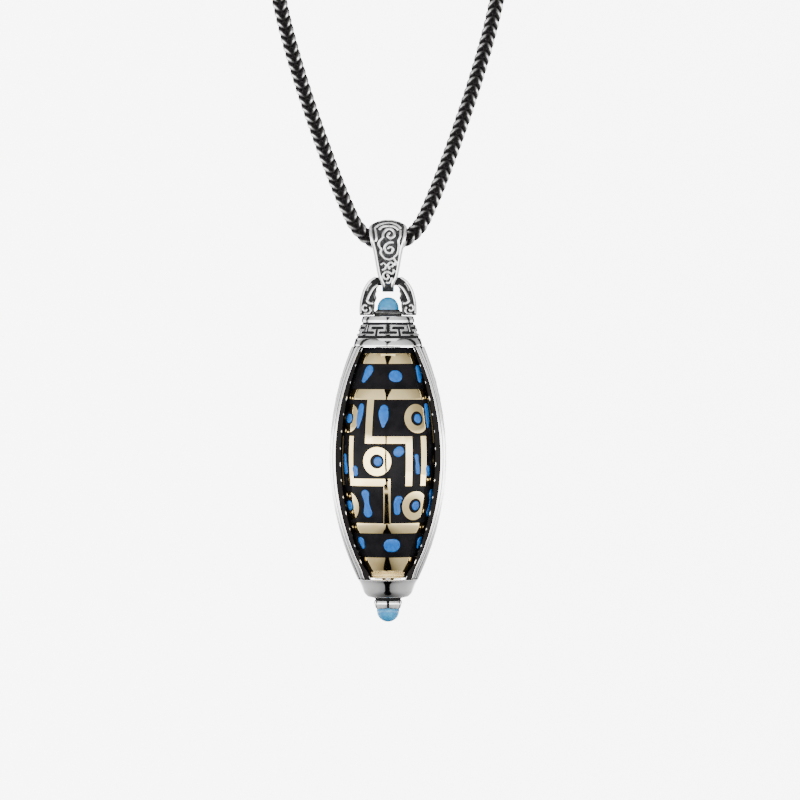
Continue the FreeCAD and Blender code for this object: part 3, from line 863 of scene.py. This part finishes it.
def make_crown():
    low = low_of("crown_cap")
    rim = soften([
        (2.9, low + 0.3, 0.1), (3.1, low, 0.05), (3.60, low, 0.08), (3.58, low + 0.25, 0.1),
        (3.42, 29.62, 0.06),
    ], closed=False, steps=5)
    rows = 72
    band = []
    for row in range(rows + 1):
        t = row / rows
        height = BAND_LOW + (BAND_HIGH - BAND_LOW) * t
        radius = BAND_LOW_RADIUS + (BAND_HIGH_RADIUS - BAND_LOW_RADIUS) * t
        band.append(Vector((radius, height)))
    top = soften([
        (2.76, 31.32, 0.03), (2.78, 31.55, 0.1), (2.66, 31.95, 0.1), (2.28, 32.0, 0.08),
        (2.2, 31.88, 0.04), (0.0, 31.88),
    ], closed=False, steps=5)

    def carve(angle, radius, height):
        if not on_band(height):
            return radius, height
        return radius - FRET_DEPTH * fret_depth(angle, height), height

    crown = lathe("crown_cap_look", rim + band + top, closed=False, steps=720, shape=carve)

    # Fret grooves dark as oxide; the ring on top round the bezel and the underside of the rim are painted
    # shade.
    def darkness(point):
        radius = hypot(point.x, point.y)
        if on_band(point.z):
            angle = atan2(point.y, point.x)
            return ramp_between(fret_depth(angle, point.z), 0.2, 0.8)
        if point.z > 31.86 and radius < 2.24:
            return 0.85
        return 0.9 if point.z < 29.3 and radius < 3.05 else 0.1

    paint(crown, darkness)
    settle(crown, "carved_silver", "frame", ["crown_cap"], 50)


ROPE_RADIUS = 1.38
ROPE_TURNS = 19
ROPE_TWIST = 0.075
STRAND_RADIUS = 0.085


def make_top_stone():
    """Rope-edged bezel and the turquoise dome in it."""
    low = low_of("top_bezel")
    seat = soften([
        (1.44, low), (1.46, low + 0.3, 0.05), (1.34, low + 0.42, 0.05), (1.3, 32.5, 0.05),
        (1.14, 32.66, 0.04), (1.08, 32.5),
    ], closed=False)
    cup = lathe("bezel_cup", seat, closed=False, steps=160)
    strands = []
    for strand in range(2):
        line = []
        for step in range(720):
            angle = TURN * step / 720
            twist = angle * ROPE_TURNS + strand * pi
            radius = ROPE_RADIUS + ROPE_TWIST * cos(twist)
            height = low + 0.42 + ROPE_TWIST * sin(twist)
            line.append(Vector((radius * cos(angle), radius * sin(angle), height)))
        strands.append(sweep("strand", line, STRAND_RADIUS, 8, True, Vector((0, 0, 1))))
    bezel = join("top_bezel_look", [cup, *strands])

    def darkness(point):
        reach = hypot(hypot(point.x, point.y) - ROPE_RADIUS, point.z - low - 0.42)
        return 0.5 + 0.3 * ramp_between(reach, 0.1, 0.2)

    paint(bezel, darkness)
    settle(bezel, "oxidised_silver", "frame", ["top_bezel"], 80)
    top = top_of("top_cabochon")
    dome = [(0.0, 32.3), (1.1, 32.3), (1.13, 32.55)]
    for step in range(25):
        angle = pi / 2 * step / 24
        dome.append((1.13 * cos(angle) ** 0.9, 32.72 + (top - 32.72) * sin(angle)))
    stone = lathe("top_cabochon_look", dome, closed=False, steps=96)
    settle(stone, "turquoise", "frame", ["top_cabochon"], 60)


# ---- ribs

RIB_LOW = low_of("rib_right")
RIB_TOP = top_of("rib_right")
RIB_LIP = 0.32
# Painted glints along the rib's lip: their step and their height.
GLINT_PITCH = 1.7
GLINT_HEIGHT = 0.3
LEAVES = 12
LEAF_PITCH = 1.72
FIRST_LEAF = 7.2


def arc_reach(height, low, high, radius):
    """Distance out from the axis of an arc that bulges outward between two points."""
    first = Vector(low)
    last = Vector(high)
    along = last - first
    inward = Vector((-along.y, along.x)).normalized()
    centre = (first + last) / 2 + inward * sqrt(radius**2 - (along.length / 2) ** 2)
    return centre.x + sqrt(radius**2 - (height - centre.y) ** 2)


def rib_inner(height):
    """The rib hugs the drum, and meets the caps where the modelled rib does."""
    arc = arc_reach(height, (2.45, RIB_LOW), (2.90, RIB_TOP), 27.7)
    return arc + (barrel(height) + 0.08 - arc) * ramp_between(height, RIB_LOW, RIB_LOW + 1.2)


def rib_outer(height):
    return arc_reach(height, (3.22, RIB_LOW), (3.86, RIB_TOP), 29.9)


def rib_depth(height):
    return arc_reach(height, (2.1, RIB_LOW), (2.1, RIB_TOP), 53.0)


def rib_lip(height):
    """How far the black lip reaches over the drum: most at mid height and at the foot. It is partly the
    rib's oxidised inner face and partly a painted stand-in for the shade on the drum's edges.
    """
    rise = (height - RIB_LOW) / (RIB_TOP - RIB_LOW)
    foot = 1.0 - ramp_between(height, RIB_LOW + 0.3, RIB_LOW + 1.6)
    return RIB_LIP + 0.27 * 4.0 * rise * (1.0 - rise) + 0.35 * foot


def rib_section(height):
    """The rib's outline in x and y: a bowed outside, a lined front and a lip round the drum."""
    inner, outer, depth = rib_inner(height), rib_outer(height), rib_depth(height)
    bow = 0.12
    groove = 0.24
    lip = inner - rib_lip(height)
    front = [
        (inner, -depth + 1.2), (lip, -depth + 0.6, 0.2), (lip, -depth + 0.25, 0.08),
        (lip + 0.13, -depth + 0.2), (lip + 0.18, -depth + 0.18), (inner - 0.03, -depth + 0.06),
        (inner, -depth, 0.03), (inner + groove - 0.05, -depth), (inner + groove, -depth + 0.07),
        (inner + groove + 0.05, -depth), (outer - bow, -depth, 0.12),
    ]
    side = []
    for step in range(1, 12):
        y = -depth + 2 * depth * step / 12
        side.append((outer - bow * (y / depth) ** 2, y))
    back = [(x, -y, *fillet) for x, y, *fillet in reversed(front)]
    return soften(front + side + back, steps=3)


def leaf_outline(middle, half_width, half_height, points=36):
    """A pointed leaf lying across the rib, in y and z."""
    outline = []
    for step in range(points):
        angle = TURN * step / points
        across = copysign(abs(cos(angle)) ** 1.15, cos(angle))
        outline.append((half_width * across, middle + half_height * sin(angle)))
    return outline


def rib_cutter(side):
    """All openings of a rib as one set of prisms."""
    shapes = []
    for step in range(LEAVES):
        middle = FIRST_LEAF + LEAF_PITCH * step
        depth = rib_depth(middle)
        half = min(1.1, depth - 1.3)
        shapes.append(leaf_outline(middle, half, 0.3))
        if step < LEAVES - 1:
            between = middle + LEAF_PITCH / 2
            for side_hole in (-1, 1):
                offset = side_hole * (rib_depth(between) - 0.85)
                shapes.append([
                    (offset + 0.2 * cos(TURN * s / 16), between + 0.32 * sin(TURN * s / 16))
                    for s in range(16)
                ])
    verts, faces = [], []
    for shape in shapes:
        start = len(verts)
        verts += [(side * x, y, z) for x in (1.5, 8.0) for y, z in shape]
        faces += end_faces(2, len(shape), start) + side_faces(2, len(shape), start)
    return mesh_object("cutter", verts, faces)


def make_rib(name, side):
    stations = 110
    sections = []
    for step in range(stations + 1):
        height = RIB_LOW + (RIB_TOP - RIB_LOW) * step / stations
        sections.append([(side * x, y, height) for x, y in rib_section(height)])
    verts = [p for section in sections for p in section]
    size = (len(sections), len(sections[0]))
    rib = mesh_object(f"{name}_look", verts, end_faces(*size) + side_faces(*size))
    cutter = rib_cutter(side)
    cut = rib.modifiers.new("pierce", "BOOLEAN")
    cut.operation = "DIFFERENCE"
    cut.solver = "EXACT"
    cut.object = cutter
    bevel = rib.modifiers.new("soften", "BEVEL")
    bevel.width = 0.05
    bevel.segments = 2
    bevel.limit_method = "ANGLE"
    bevel.angle_limit = radians(50)
    apply_modifiers(rib)
    bpy.data.objects.remove(cutter)

    def darkness(point):
        """Polished front and outside, with a dark line; black inside, but for painted glints along the
        lip's edge.
        """
        inner, outer = rib_inner(point.z), rib_outer(point.z)
        across = abs(point.x)
        # Inside: black, the oxidised inner face, and on the lip partly painted shade.
        if across < inner - 0.015:
            # Painted glints: bright dashes at regular steps along the lip's edge.
            glint = (point.z - RIB_LOW) % GLINT_PITCH < GLINT_HEIGHT
            edge = across < inner - rib_lip(point.z) + 0.1
            front = rib_depth(point.z) - abs(point.y) < 0.45
            return 0.2 if glint and edge and front else 1.0
        front = rib_depth(point.z) - abs(point.y)
        if front < 0.1:
            return 1.0 if front > 0.035 and across < inner + 0.4 else 0.0
        if across > outer - 0.2 - 0.12 * (point.y / rib_depth(point.z)) ** 2:
            return 0.0
        return 1.0

    paint(rib, darkness)
    settle(rib, "rib_silver", "frame", [name], 35)


# ---- lower end


def make_bottom():
    low = low_of("bottom_cap")
    top = top_of("bottom_cap")
    cap = lathe("bottom_cap_look", soften([
        (1.5, low, 0.05), (2.1, low, 0.15), (2.55, low + 0.42, 0.35), (2.95, 4.1, 0.3),
        (3.05, 4.3, 0.05), (3.17, top - 0.06, 0.05), (3.08, top, 0.04), (1.4, top, 0.05),
        (1.4, top - 0.35, 0.03), (0.62, top - 0.35, 0.02), (0.62, 3.5, 0.02), (1.5, 3.5, 0.02),
    ], steps=6), steps=200)
    settle(cap, "polished_silver", "frame", ["bottom_cap"], 50)
    make_collet()
    bead_low = low_of("bottom_cabochon")
    outline = []
    for step in range(33):
        angle = -pi / 2 + pi / 2 * step / 32
        outline.append((1.19 * cos(angle), bead_low + 1.2 + 1.2 * sin(angle)))
    outline += [(1.18, 1.42), (1.02, 1.55), (0.0, 1.7)]
    bead = lathe("bottom_cabochon_look", outline, closed=False, steps=120)
    settle(bead, "turquoise", "frame", ["bottom_cabochon"], 60)


CLAWS = 6


def make_collet():
    """Six rounded claws round the bead, under a waist painted dark as the shade beneath the cap."""
    profile = soften([
        (1.0, 1.85), (1.02, 1.5, 0.05), (1.2, 1.36, 0.06), (1.38, 1.5, 0.1), (1.52, 1.95, 0.15),
        (1.46, 2.25, 0.08), (1.3, 2.36, 0.05), (1.45, 2.5, 0.06), (1.9, 2.62),
    ], closed=False, steps=6)

    def notch(angle, radius, height):
        turn = TURN / CLAWS
        away = abs((angle + pi / 2 + turn / 2) % turn - turn / 2)
        slit = 1.0 - ramp_between(away, 0.03, 0.11)
        swell = cos(away * CLAWS / 2) ** 0.5
        if height < 2.33 and radius > 1.1:
            radius -= 0.22 * slit + 0.05 * (1 - swell)
            height += 0.10 * slit if height < 1.7 else -0.1 * slit
        return radius, height

    collet = lathe("bottom_collet_look", profile, closed=False, steps=360, shape=notch)

    def darkness(point):
        turn = TURN / CLAWS
        angle = atan2(point.y, point.x)
        away = abs((angle + pi / 2 + turn / 2) % turn - turn / 2)
        slit = 1.0 - ramp_between(away, 0.05, 0.11)
        # Slits between the claws dark; from the waist up, painted shade under the cap.
        return max(slit, ramp_between(point.z, 2.2, 2.34)) if point.z > 1.4 else 0.2

    paint(collet, darkness)
    settle(collet, "carved_silver", "frame", ["bottom_collet"], 60)


# ---- drum

BARREL_RADIUS = 5.40
BARREL_CURVE = 26.7
BARREL_MIDDLE = 17.25
ENAMEL_DROP = 0.06
REPEATS = 4


def barrel(height):
    return BARREL_RADIUS - BARREL_CURVE + sqrt(BARREL_CURVE**2 - (height - BARREL_MIDDLE) ** 2)


def on_barrel(angle, height, rise):
    """A point on the drum; angle is in radians from the front, rise is above the surface."""
    slope = asin((height - BARREL_MIDDLE) / BARREL_CURVE)
    radius = barrel(height) + rise * cos(slope)
    return Vector((radius * sin(angle), -radius * cos(angle), height + rise * sin(slope)))


def barrel_sleeve(name, low, high, rise, edge, bulge, finish, node):
    """A sleeve over the barrel with rounded edges and a slightly bowed face."""
    profile = []
    rows = max(6, int((high - low) / 0.35))
    heights = [low + (high - low) * s / rows for s in range(rows + 1)]
    profile.append((barrel(low) - 0.28, low))
    profile.append((barrel(low) + rise - bulge - edge, low))
    heights[0] += edge * 0.6
    heights[-1] -= edge * 0.6
    for height in heights:
        t = 2 * (height - low) / (high - low) - 1
        profile.append((barrel(height) + rise - bulge * t * t, height))
    profile.append((barrel(high) + rise - bulge - edge, high))
    profile.append((barrel(high) - 0.28, high))
    obj = lathe(name, profile, steps=240)
    return settle(obj, finish, "drum", [node], 30)


def strip(path):
    """A gold band on the barrel along (angle in degrees, height), with mitred corners."""
    points = [Vector((radians(a), z)) for a, z in path]
    section = [(-1.0, -0.05), (-1.0, 0.0), (-0.86, 0.0), (0.86, 0.0), (1.0, 0.0), (1.0, -0.05)]
    fine = []
    for index, point in enumerate(points):
        before = points[index - 1] if index else None
        after = points[index + 1] if index + 1 < len(points) else None
        normal = mitre(before, point, after)
        fine.append((point, normal))
        if after is not None:
            scale = barrel(point.y)
            length = hypot((after.x - point.x) * scale, after.y - point.y)
            cuts = max(1, int(length / 0.3))
            straight = mitre(None, point, after)
            for cut in range(1, cuts):
                fine.append((point.lerp(after, cut / cuts), straight))
    verts = []
    for point, normal in fine:
        radius = barrel(point.y)
        for across, lift in section:
            offset = normal * across * LINE_WIDTH / 2
            verts.append(on_barrel(point.x + offset.x / radius, point.y + offset.y, lift))
    size = (len(fine), len(section))
    return mesh_object("strip", verts, side_faces(*size) + end_faces(*size))


def mitre(before, point, after):
    """The sideways direction at a point of a path, stretched at a corner."""
    sides = []
    for a, b in ((before, point), (point, after)):
        if a is not None and b is not None:
            along = Vector(((b.x - a.x) * barrel(point.y), b.y - a.y)).normalized()
            sides.append(Vector((-along.y, along.x)))
    if len(sides) == 1:
        return sides[0]
    total = sides[0] + sides[1]
    return total / (total.dot(sides[0]))


def ring_on_barrel(angle, height, inner, outer, rise):
    """A raised eye ring on the barrel."""
    section = [(inner, -0.05), (inner, rise * 0.5), (inner + 0.07, rise), (outer - 0.07, rise),
               (outer, rise * 0.5), (outer, -0.05)]
    steps = 56
    centre = radians(angle)
    verts = []
    for step in range(steps):
        turn = TURN * step / steps
        for reach, lift in section:
            z = height + reach * sin(turn)
            verts.append(on_barrel(centre + reach * cos(turn) / barrel(height), z, lift))
    return mesh_object("eye_ring", verts, side_faces(steps, len(section), loop=True))


DROP_SECTION = [
    (-1.0, None), (-0.985, 0.0), (-0.92, 0.55), (-0.72, 0.85), (-0.35, 0.97), (0.35, 0.97),
    (0.72, 0.85), (0.92, 0.55), (0.985, 0.0), (1.0, None),
]


def drop(angle, height, spine, rise):
    """A pillow of enamel that swells and narrows along a bent spine of (across, up, radius)."""
    line = smooth_line(spine, 6)
    middle = radians(angle)
    rows = []
    tips = ((line[0], line[0] - line[1]), (line[-1], line[-1] - line[-2]))
    for end, (tip, away) in enumerate(tips):
        way = Vector((away.x, away.y)).normalized()
        cap = [
            (Vector((tip.x, tip.y)) + way * tip.z * sin(turn), tip.z * cos(turn))
            for turn in (radians(84 - 14 * s) for s in range(6))
        ]
        if end == 0:
            rows += cap
            rows += [(Vector((p.x, p.y)), p.z) for p in line]
        else:
            rows += reversed(cap)
    widest = max(half for _, half in rows)
    verts = []
    for index, (place, half) in enumerate(rows):
        ahead = rows[min(index + 1, len(rows) - 1)][0]
        behind = rows[max(index - 1, 0)][0]
        along = (ahead - behind).normalized()
        side = Vector((-along.y, along.x))
        lift_here = min(1.0, (half / widest) * 1.6) ** 0.5
        for across, lift in DROP_SECTION:
            point = place + side * across * half
            level = -ENAMEL_DROP * 1.4
            if lift is not None:
                level = -ENAMEL_DROP + (rise + ENAMEL_DROP) * (0.25 + 0.75 * lift) * lift_here
            verts.append(on_barrel(middle + point.x / barrel(height), height + point.y, level))
    size = (len(rows), len(DROP_SECTION))
    return mesh_object("drop", verts, side_faces(*size) + end_faces(*size))


LINE_WIDTH = 0.74
DROP_RISE = 0.035
KNURLS = 40
EYE_RINGS = [(36.5, 21.35), (-12.3, 16.93), (34.8, 12.3)]
EYE_DOT = [(0.1, -0.02, 0.46), (0.1, 0.02, 0.46)]
MIDDLE_DROPS = [
    (-35.7, 21.6, [(0.09, 1.0, 0.32), (0.04, 0.5, 0.37), (-0.02, -0.1, 0.34), (-0.09, -0.7, 0.25),
                   (-0.12, -1.12, 0.13)]),
    (-5.3, 21.65, [(0.05, 0.7, 0.45), (0.0, 0.35, 0.54), (0.02, -0.15, 0.5), (0.0, -0.6, 0.36),
                   (-0.03, -1.1, 0.13)]),
    (12.2, 17.94, [(-0.08, -0.06, 0.5), (0.08, 0.06, 0.5)]),
    (-39.5, 15.9, [(-0.03, 0.22, 0.34), (0.05, -0.25, 0.30)]),
    (34.6, 16.6, [(-0.1, 0.82, 0.26), (-0.02, 0.3, 0.2), (0.05, -0.3, 0.28), (0.1, -0.78, 0.27)]),
    (-26.6, 12.54, [(-0.08, 1.0, 0.44), (0.0, 0.35, 0.30), (0.03, -0.1, 0.30),
                    (0.05, -0.93, 0.52)]),
    (11.4, 12.34, [(0.22, 0.70, 0.30), (0.12, 0.62, 0.40), (-0.05, 0.15, 0.34),
                   (0.02, -0.62, 0.36)]),
]
UPPER_DROPS = [
    (11.5, 25.75, [(-0.1, 0.0, 0.61), (0.1, 0.0, 0.61)]),
    (-33.8, 25.95, [(0.15, 0.42, 0.52), (0.02, 0.05, 0.46), (-0.24, -0.62, 0.26)]),
]
LOWER_DROPS = [
    (6.3, 8.14, [(-0.18, 0.0, 0.69), (0.18, 0.0, 0.69)]),
    (6.3, 8.38, [(0.0, 0.2, 0.42), (0.05, -0.38, 0.24)]),
]


def make_drum():
    sleeves = [
        (f"{kind}_{place}", finish, rise)
        for kind, finish, rise, places in (
            ("gold_band", "gold", 0.0, ("foot", "lower", "upper", "neck")),
            ("enamel", "black_enamel", -ENAMEL_DROP, ("lower", "middle", "upper")),
        )
        for place in places
    ]
    for node, finish, rise in sleeves:
        edge, bulge = (0.04, 0.05) if finish == "gold" else (0.0, 0.0)
        low, high = low_of(node), top_of(node)
        barrel_sleeve(f"{node}_look", low, high, rise + bulge * 0.6, edge, bulge, finish, node)
    low = top_of("gold_band_lower") - 0.1
    high = low_of("gold_band_upper") + 0.1
    upper_step = 19.15
    lower_step = 14.75
    gold, blue = [], []
    for repeat in range(REPEATS):
        turn = repeat * 360 / REPEATS
        gold.append(strip([
            (turn - 22.3, high), (turn - 22.3, upper_step), (turn + 24.2, upper_step),
            (turn + 24.2, lower_step - LINE_WIDTH / 2),
        ]))
        gold.append(strip([
            (turn - 46.1, upper_step + LINE_WIDTH / 2), (turn - 46.1, lower_step),
            (turn - 1.1, lower_step), (turn - 1.1, low),
        ]))
        for angle, height in EYE_RINGS:
            gold.append(ring_on_barrel(turn + angle, height, 0.75, 1.5, 0.005))
            blue.append(drop(turn + angle, height, EYE_DOT, 0.04))
        for angle, height, spine in MIDDLE_DROPS + UPPER_DROPS:
            blue.append(drop(turn + angle, height, spine, DROP_RISE))
    for place in range(-3, 4):
        angle, height, spine = LOWER_DROPS[place % 2]
        blue.append(drop(angle + place * 360 / 7, height, spine, DROP_RISE))
    settle(join("gold_inlay", gold), "gold", "drum", sharp=30)
    settle(join("blue_inlay", blue), "blue_enamel", "drum", sharp=60)
    make_foot_ring()
    make_neck_ring()


def make_foot_ring():
    """Small gold cone with crossed knurling under the barrel."""
    low = low_of("drum_foot_ring")
    high = top_of("drum_foot_ring")
    first, last = 2.2, 2.48
    profile = [(1.5, low), (first - 0.08, low)]
    for step in range(1, 28):
        t = step / 28
        profile.append((first + (last - first) * t, low + (high - low) * t))
    profile += [(last - 0.08, high), (1.5, high)]

    def knurl(angle, radius, height):
        if not low < height < high:
            return radius, height
        left = cos(angle * KNURLS + height * 18)
        right = cos(angle * KNURLS - height * 18)
        return radius - 0.04 * (1 - left * right), height

    ring = lathe("drum_foot_ring_look", profile, steps=640, shape=knurl)
    settle(ring, "gold", "drum", ["drum_foot_ring"], 60)


def make_neck_ring():
    """Black ring that closes the barrel's top, under the crown."""
    low = low_of("drum_neck_ring")
    high = top_of("drum_neck_ring")
    ring = lathe("drum_neck_ring_look", soften([
        (1.36, low + 0.01), (3.06, low + 0.01, 0.04), (2.81, high - 0.01, 0.08),
        (1.36, high - 0.01),
    ]), steps=160)
    settle(ring, "black_enamel", "drum", ["drum_neck_ring"], 40)


# ---- inner pieces kept from the model

KEPT = {
    "brass_core": ["drum_shell", "drum_top_disc", "drum_bottom_disc", "upper_bush", "lower_bush"],
    "steel": ["axle", "axle_nut", "upper_washer", "lower_washer"],
    "paper": ["prayer_scroll"],
}


def dress_kept_nodes():
    for finish, nodes in KEPT.items():
        for node in nodes:
            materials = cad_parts[node].data.materials
            materials.clear()
            materials.append(FINISH[finish])


# ---- studio

VIEW_WIDTH = 0.0836
VIEW_CENTRE = Vector((0.00125, 0.0, BASE + 0.0232))
CAMERA_DISTANCE = 0.5
CAMERA_RISE = 1.0
STUDIO_WHITE = 8.0
FLOOR_GREY = 0.65
FLOOR_DROP = 0.16
FLOOR_RADIUS = 1.38
FLOOR_CARD = [
    (-0.55, -0.03, 0.022), (-0.28, -0.015, 0.022), (-0.16, -0.01, 0.036), (-0.09, -0.005, 0.042),
    (-0.03, 0.0, 0.022), (0.0, 0.0, 0.002),
]
TENT_BY_HEIGHT = [
    (0.0, 0.05), (0.41, 0.06), (0.443, 1.0), (0.545, 1.0), (0.575, 0.23), (0.88, 0.17),
    (0.95, 0.02),
]
TENT_ROUND = [
    (0.0, 1.0), (0.2, 1.0), (0.4, 0.7), (0.545, 0.55), (0.56, 0.02), (0.69, 0.02), (0.705, 0.5),
    (0.87, 0.5), (0.885, 0.02), (0.982, 0.02), (0.989, 1.0),
]
TENT_ACROSS = [(0.0, 1.0), (0.46, 1.0), (0.54, 0.96), (1.0, 0.62)]


def matte_material(name):
    material, nodes, links, shader = new_material(name)
    set_inputs(shader, Roughness=1.0, Specular_IOR_Level=0.0)
    return material, nodes, links, shader


def floor_material():
    """Pale floor that brightens into the studio's own white away from the middle."""
    material, nodes, links, shader = matte_material("floor_white")
    shader.inputs["Emission Color"].default_value = (1, 1, 1, 1)
    place = nodes.new("ShaderNodeTexCoord")
    split = nodes.new("ShaderNodeSeparateXYZ")
    links.new(place.outputs["Object"], split.inputs["Vector"])
    aside = nodes.new("ShaderNodeMath")
    aside.operation = "ABSOLUTE"
    links.new(split.outputs["X"], aside.inputs[0])
    tint = add_ramp(nodes, links, aside.outputs["Value"], [
        (0.02, grey(0.12)),
        (0.08, grey(0.4)),
        (0.15, grey(FLOOR_GREY)),
    ])
    drive(links, shader, "Base Color", tint)
    reach = nodes.new("ShaderNodeVectorMath")
    reach.operation = "LENGTH"
    links.new(place.outputs["Object"], reach.inputs[0])
    fade = add_ramp(nodes, links, reach.outputs["Value"], [
        (0.08, grey(0.0)),
        (0.5, grey(0.14)),
        (0.95, grey(0.9)),
    ])
    glow = nodes.new("ShaderNodeMath")
    glow.operation = "MULTIPLY"
    glow.inputs[1].default_value = STUDIO_WHITE
    links.new(fade.outputs["Color"], glow.inputs[0])
    links.new(glow.outputs["Value"], shader.inputs["Emission Strength"])
    return material


def make_floor():
    steps = 96
    height = BASE - FLOOR_DROP
    rings = (0.0, 0.3, 0.6, 1.0, FLOOR_RADIUS)
    verts = [(0, 0, 0)]
    for radius in rings[1:]:
        verts += [
            (radius * cos(TURN * s / steps), radius * sin(TURN * s / steps), 0)
            for s in range(steps)
        ]
    faces = [[0, 1 + s, 1 + (s + 1) % steps] for s in range(steps)]
    for low in range(1, len(verts) - steps, steps):
        high = low + steps
        pairs = [(s, (s + 1) % steps) for s in range(steps)]
        faces += [[low + a, high + a, high + b, low + b] for a, b in pairs]
    floor = sheet_object("floor", verts, faces)
    floor.location.z = height
    floor.data.materials.append(floor_material())


def make_flag():
    """Black cards that draw the dark line on metal: one behind the camera, one on the floor."""
    rows = 24
    verts = []
    for row in range(rows + 1):
        rise = radians(-17 + 87 * row / rows)
        reach = 0.56
        spread = min(1.0, abs(rise) / radians(50))
        half = radians(1.7 + 14.0 * spread**2.5)
        middle = radians(-5.0 * (1 - spread))
        for azimuth in (middle - half, middle + half):
            verts.append(VIEW_CENTRE + Vector((
                reach * cos(rise) * sin(azimuth),
                -reach * cos(rise) * cos(azimuth),
                reach * sin(rise),
            )))
    faces = [[2 * r, 2 * r + 1, 2 * r + 3, 2 * r + 2] for r in range(rows)]
    ground = BASE - FLOOR_DROP + 0.0005
    start = len(verts)
    card = smooth_line(FLOOR_CARD)
    for y, middle, half in card:
        verts += [Vector((middle - half, y, ground)), Vector((middle + half, y, ground))]
    for row in range(len(card) - 1):
        a = start + 2 * row
        faces.append([a, a + 1, a + 3, a + 2])
    flag = sheet_object("flag", verts, faces)
    material, _, _, shader = matte_material("flag_black")
    shader.inputs["Base Color"].default_value = (*grey(0.004), 1.0)
    flag.data.materials.append(material)


def add_softbox(name, azimuth, rise, width, height, radiance):
    """A panel light half a metre off; radiance is how bright it looks next to white, 1.0."""
    a, e = radians(azimuth), radians(rise)
    away = Vector((sin(a) * cos(e), -cos(a) * cos(e), sin(e)))
    light = bpy.data.lights.new(name, "AREA")
    light.shape = "RECTANGLE"
    light.size = width
    light.size_y = height
    light.energy = radiance * pi * width * height
    obj = show(name, light)
    obj.location = VIEW_CENTRE + away * 0.5
    obj.rotation_euler = away.to_track_quat("Z", "Y").to_euler()
    obj.visible_camera = False


def make_lights():
    add_softbox("softbox_top", 0, 78, 0.4, 0.4, 2.0)
    add_softbox("softbox_back", 205, 38, 0.3, 0.3, 1.5)
    world = bpy.data.worlds.new("studio")
    world.use_nodes = True
    nodes, links = world.node_tree.nodes, world.node_tree.links
    place = nodes.new("ShaderNodeTexCoord")
    split = nodes.new("ShaderNodeSeparateXYZ")
    links.new(place.outputs["Generated"], split.inputs["Vector"])
    fades = []
    for axis, stops in (("Z", TENT_BY_HEIGHT), ("Y", TENT_ROUND), ("X", TENT_ACROSS)):
        reach = nodes.new("ShaderNodeMapRange")
        reach.inputs["From Min"].default_value = -1.0
        links.new(split.outputs[axis], reach.inputs["Value"])
        stops = [(position, grey(value)) for position, value in stops]
        fades.append(add_ramp(nodes, links, reach.outputs["Result"], stops))
    total = fades[0].outputs["Color"]
    for fade in fades[1:]:
        product = nodes.new("ShaderNodeVectorMath")
        product.operation = "MULTIPLY"
        links.new(total, product.inputs[0])
        links.new(fade.outputs["Color"], product.inputs[1])
        total = product.outputs["Vector"]
    background = nodes["Background"]
    links.new(total, background.inputs["Color"])
    background.inputs["Strength"].default_value = STUDIO_WHITE
    bpy.context.scene.world = world


def make_camera():
    data = bpy.data.cameras.new("camera")
    data.sensor_width = 36.0
    data.lens = data.sensor_width * CAMERA_DISTANCE / VIEW_WIDTH
    data.clip_start = 0.01
    camera = show("camera", data)
    rise = radians(CAMERA_RISE)
    offset = Vector((0, -cos(rise), sin(rise))) * CAMERA_DISTANCE
    camera.location = VIEW_CENTRE + offset
    camera.rotation_euler = (-offset).to_track_quat("-Z", "Y").to_euler()
    bpy.context.scene.camera = camera


make_camera()
make_floor()
make_flag()
make_lights()
make_chain()
make_bail()
make_arch()
make_crown()
make_top_stone()
make_rib("rib_right", 1)
make_rib("rib_left", -1)
make_bottom()
make_drum()
dress_kept_nodes()
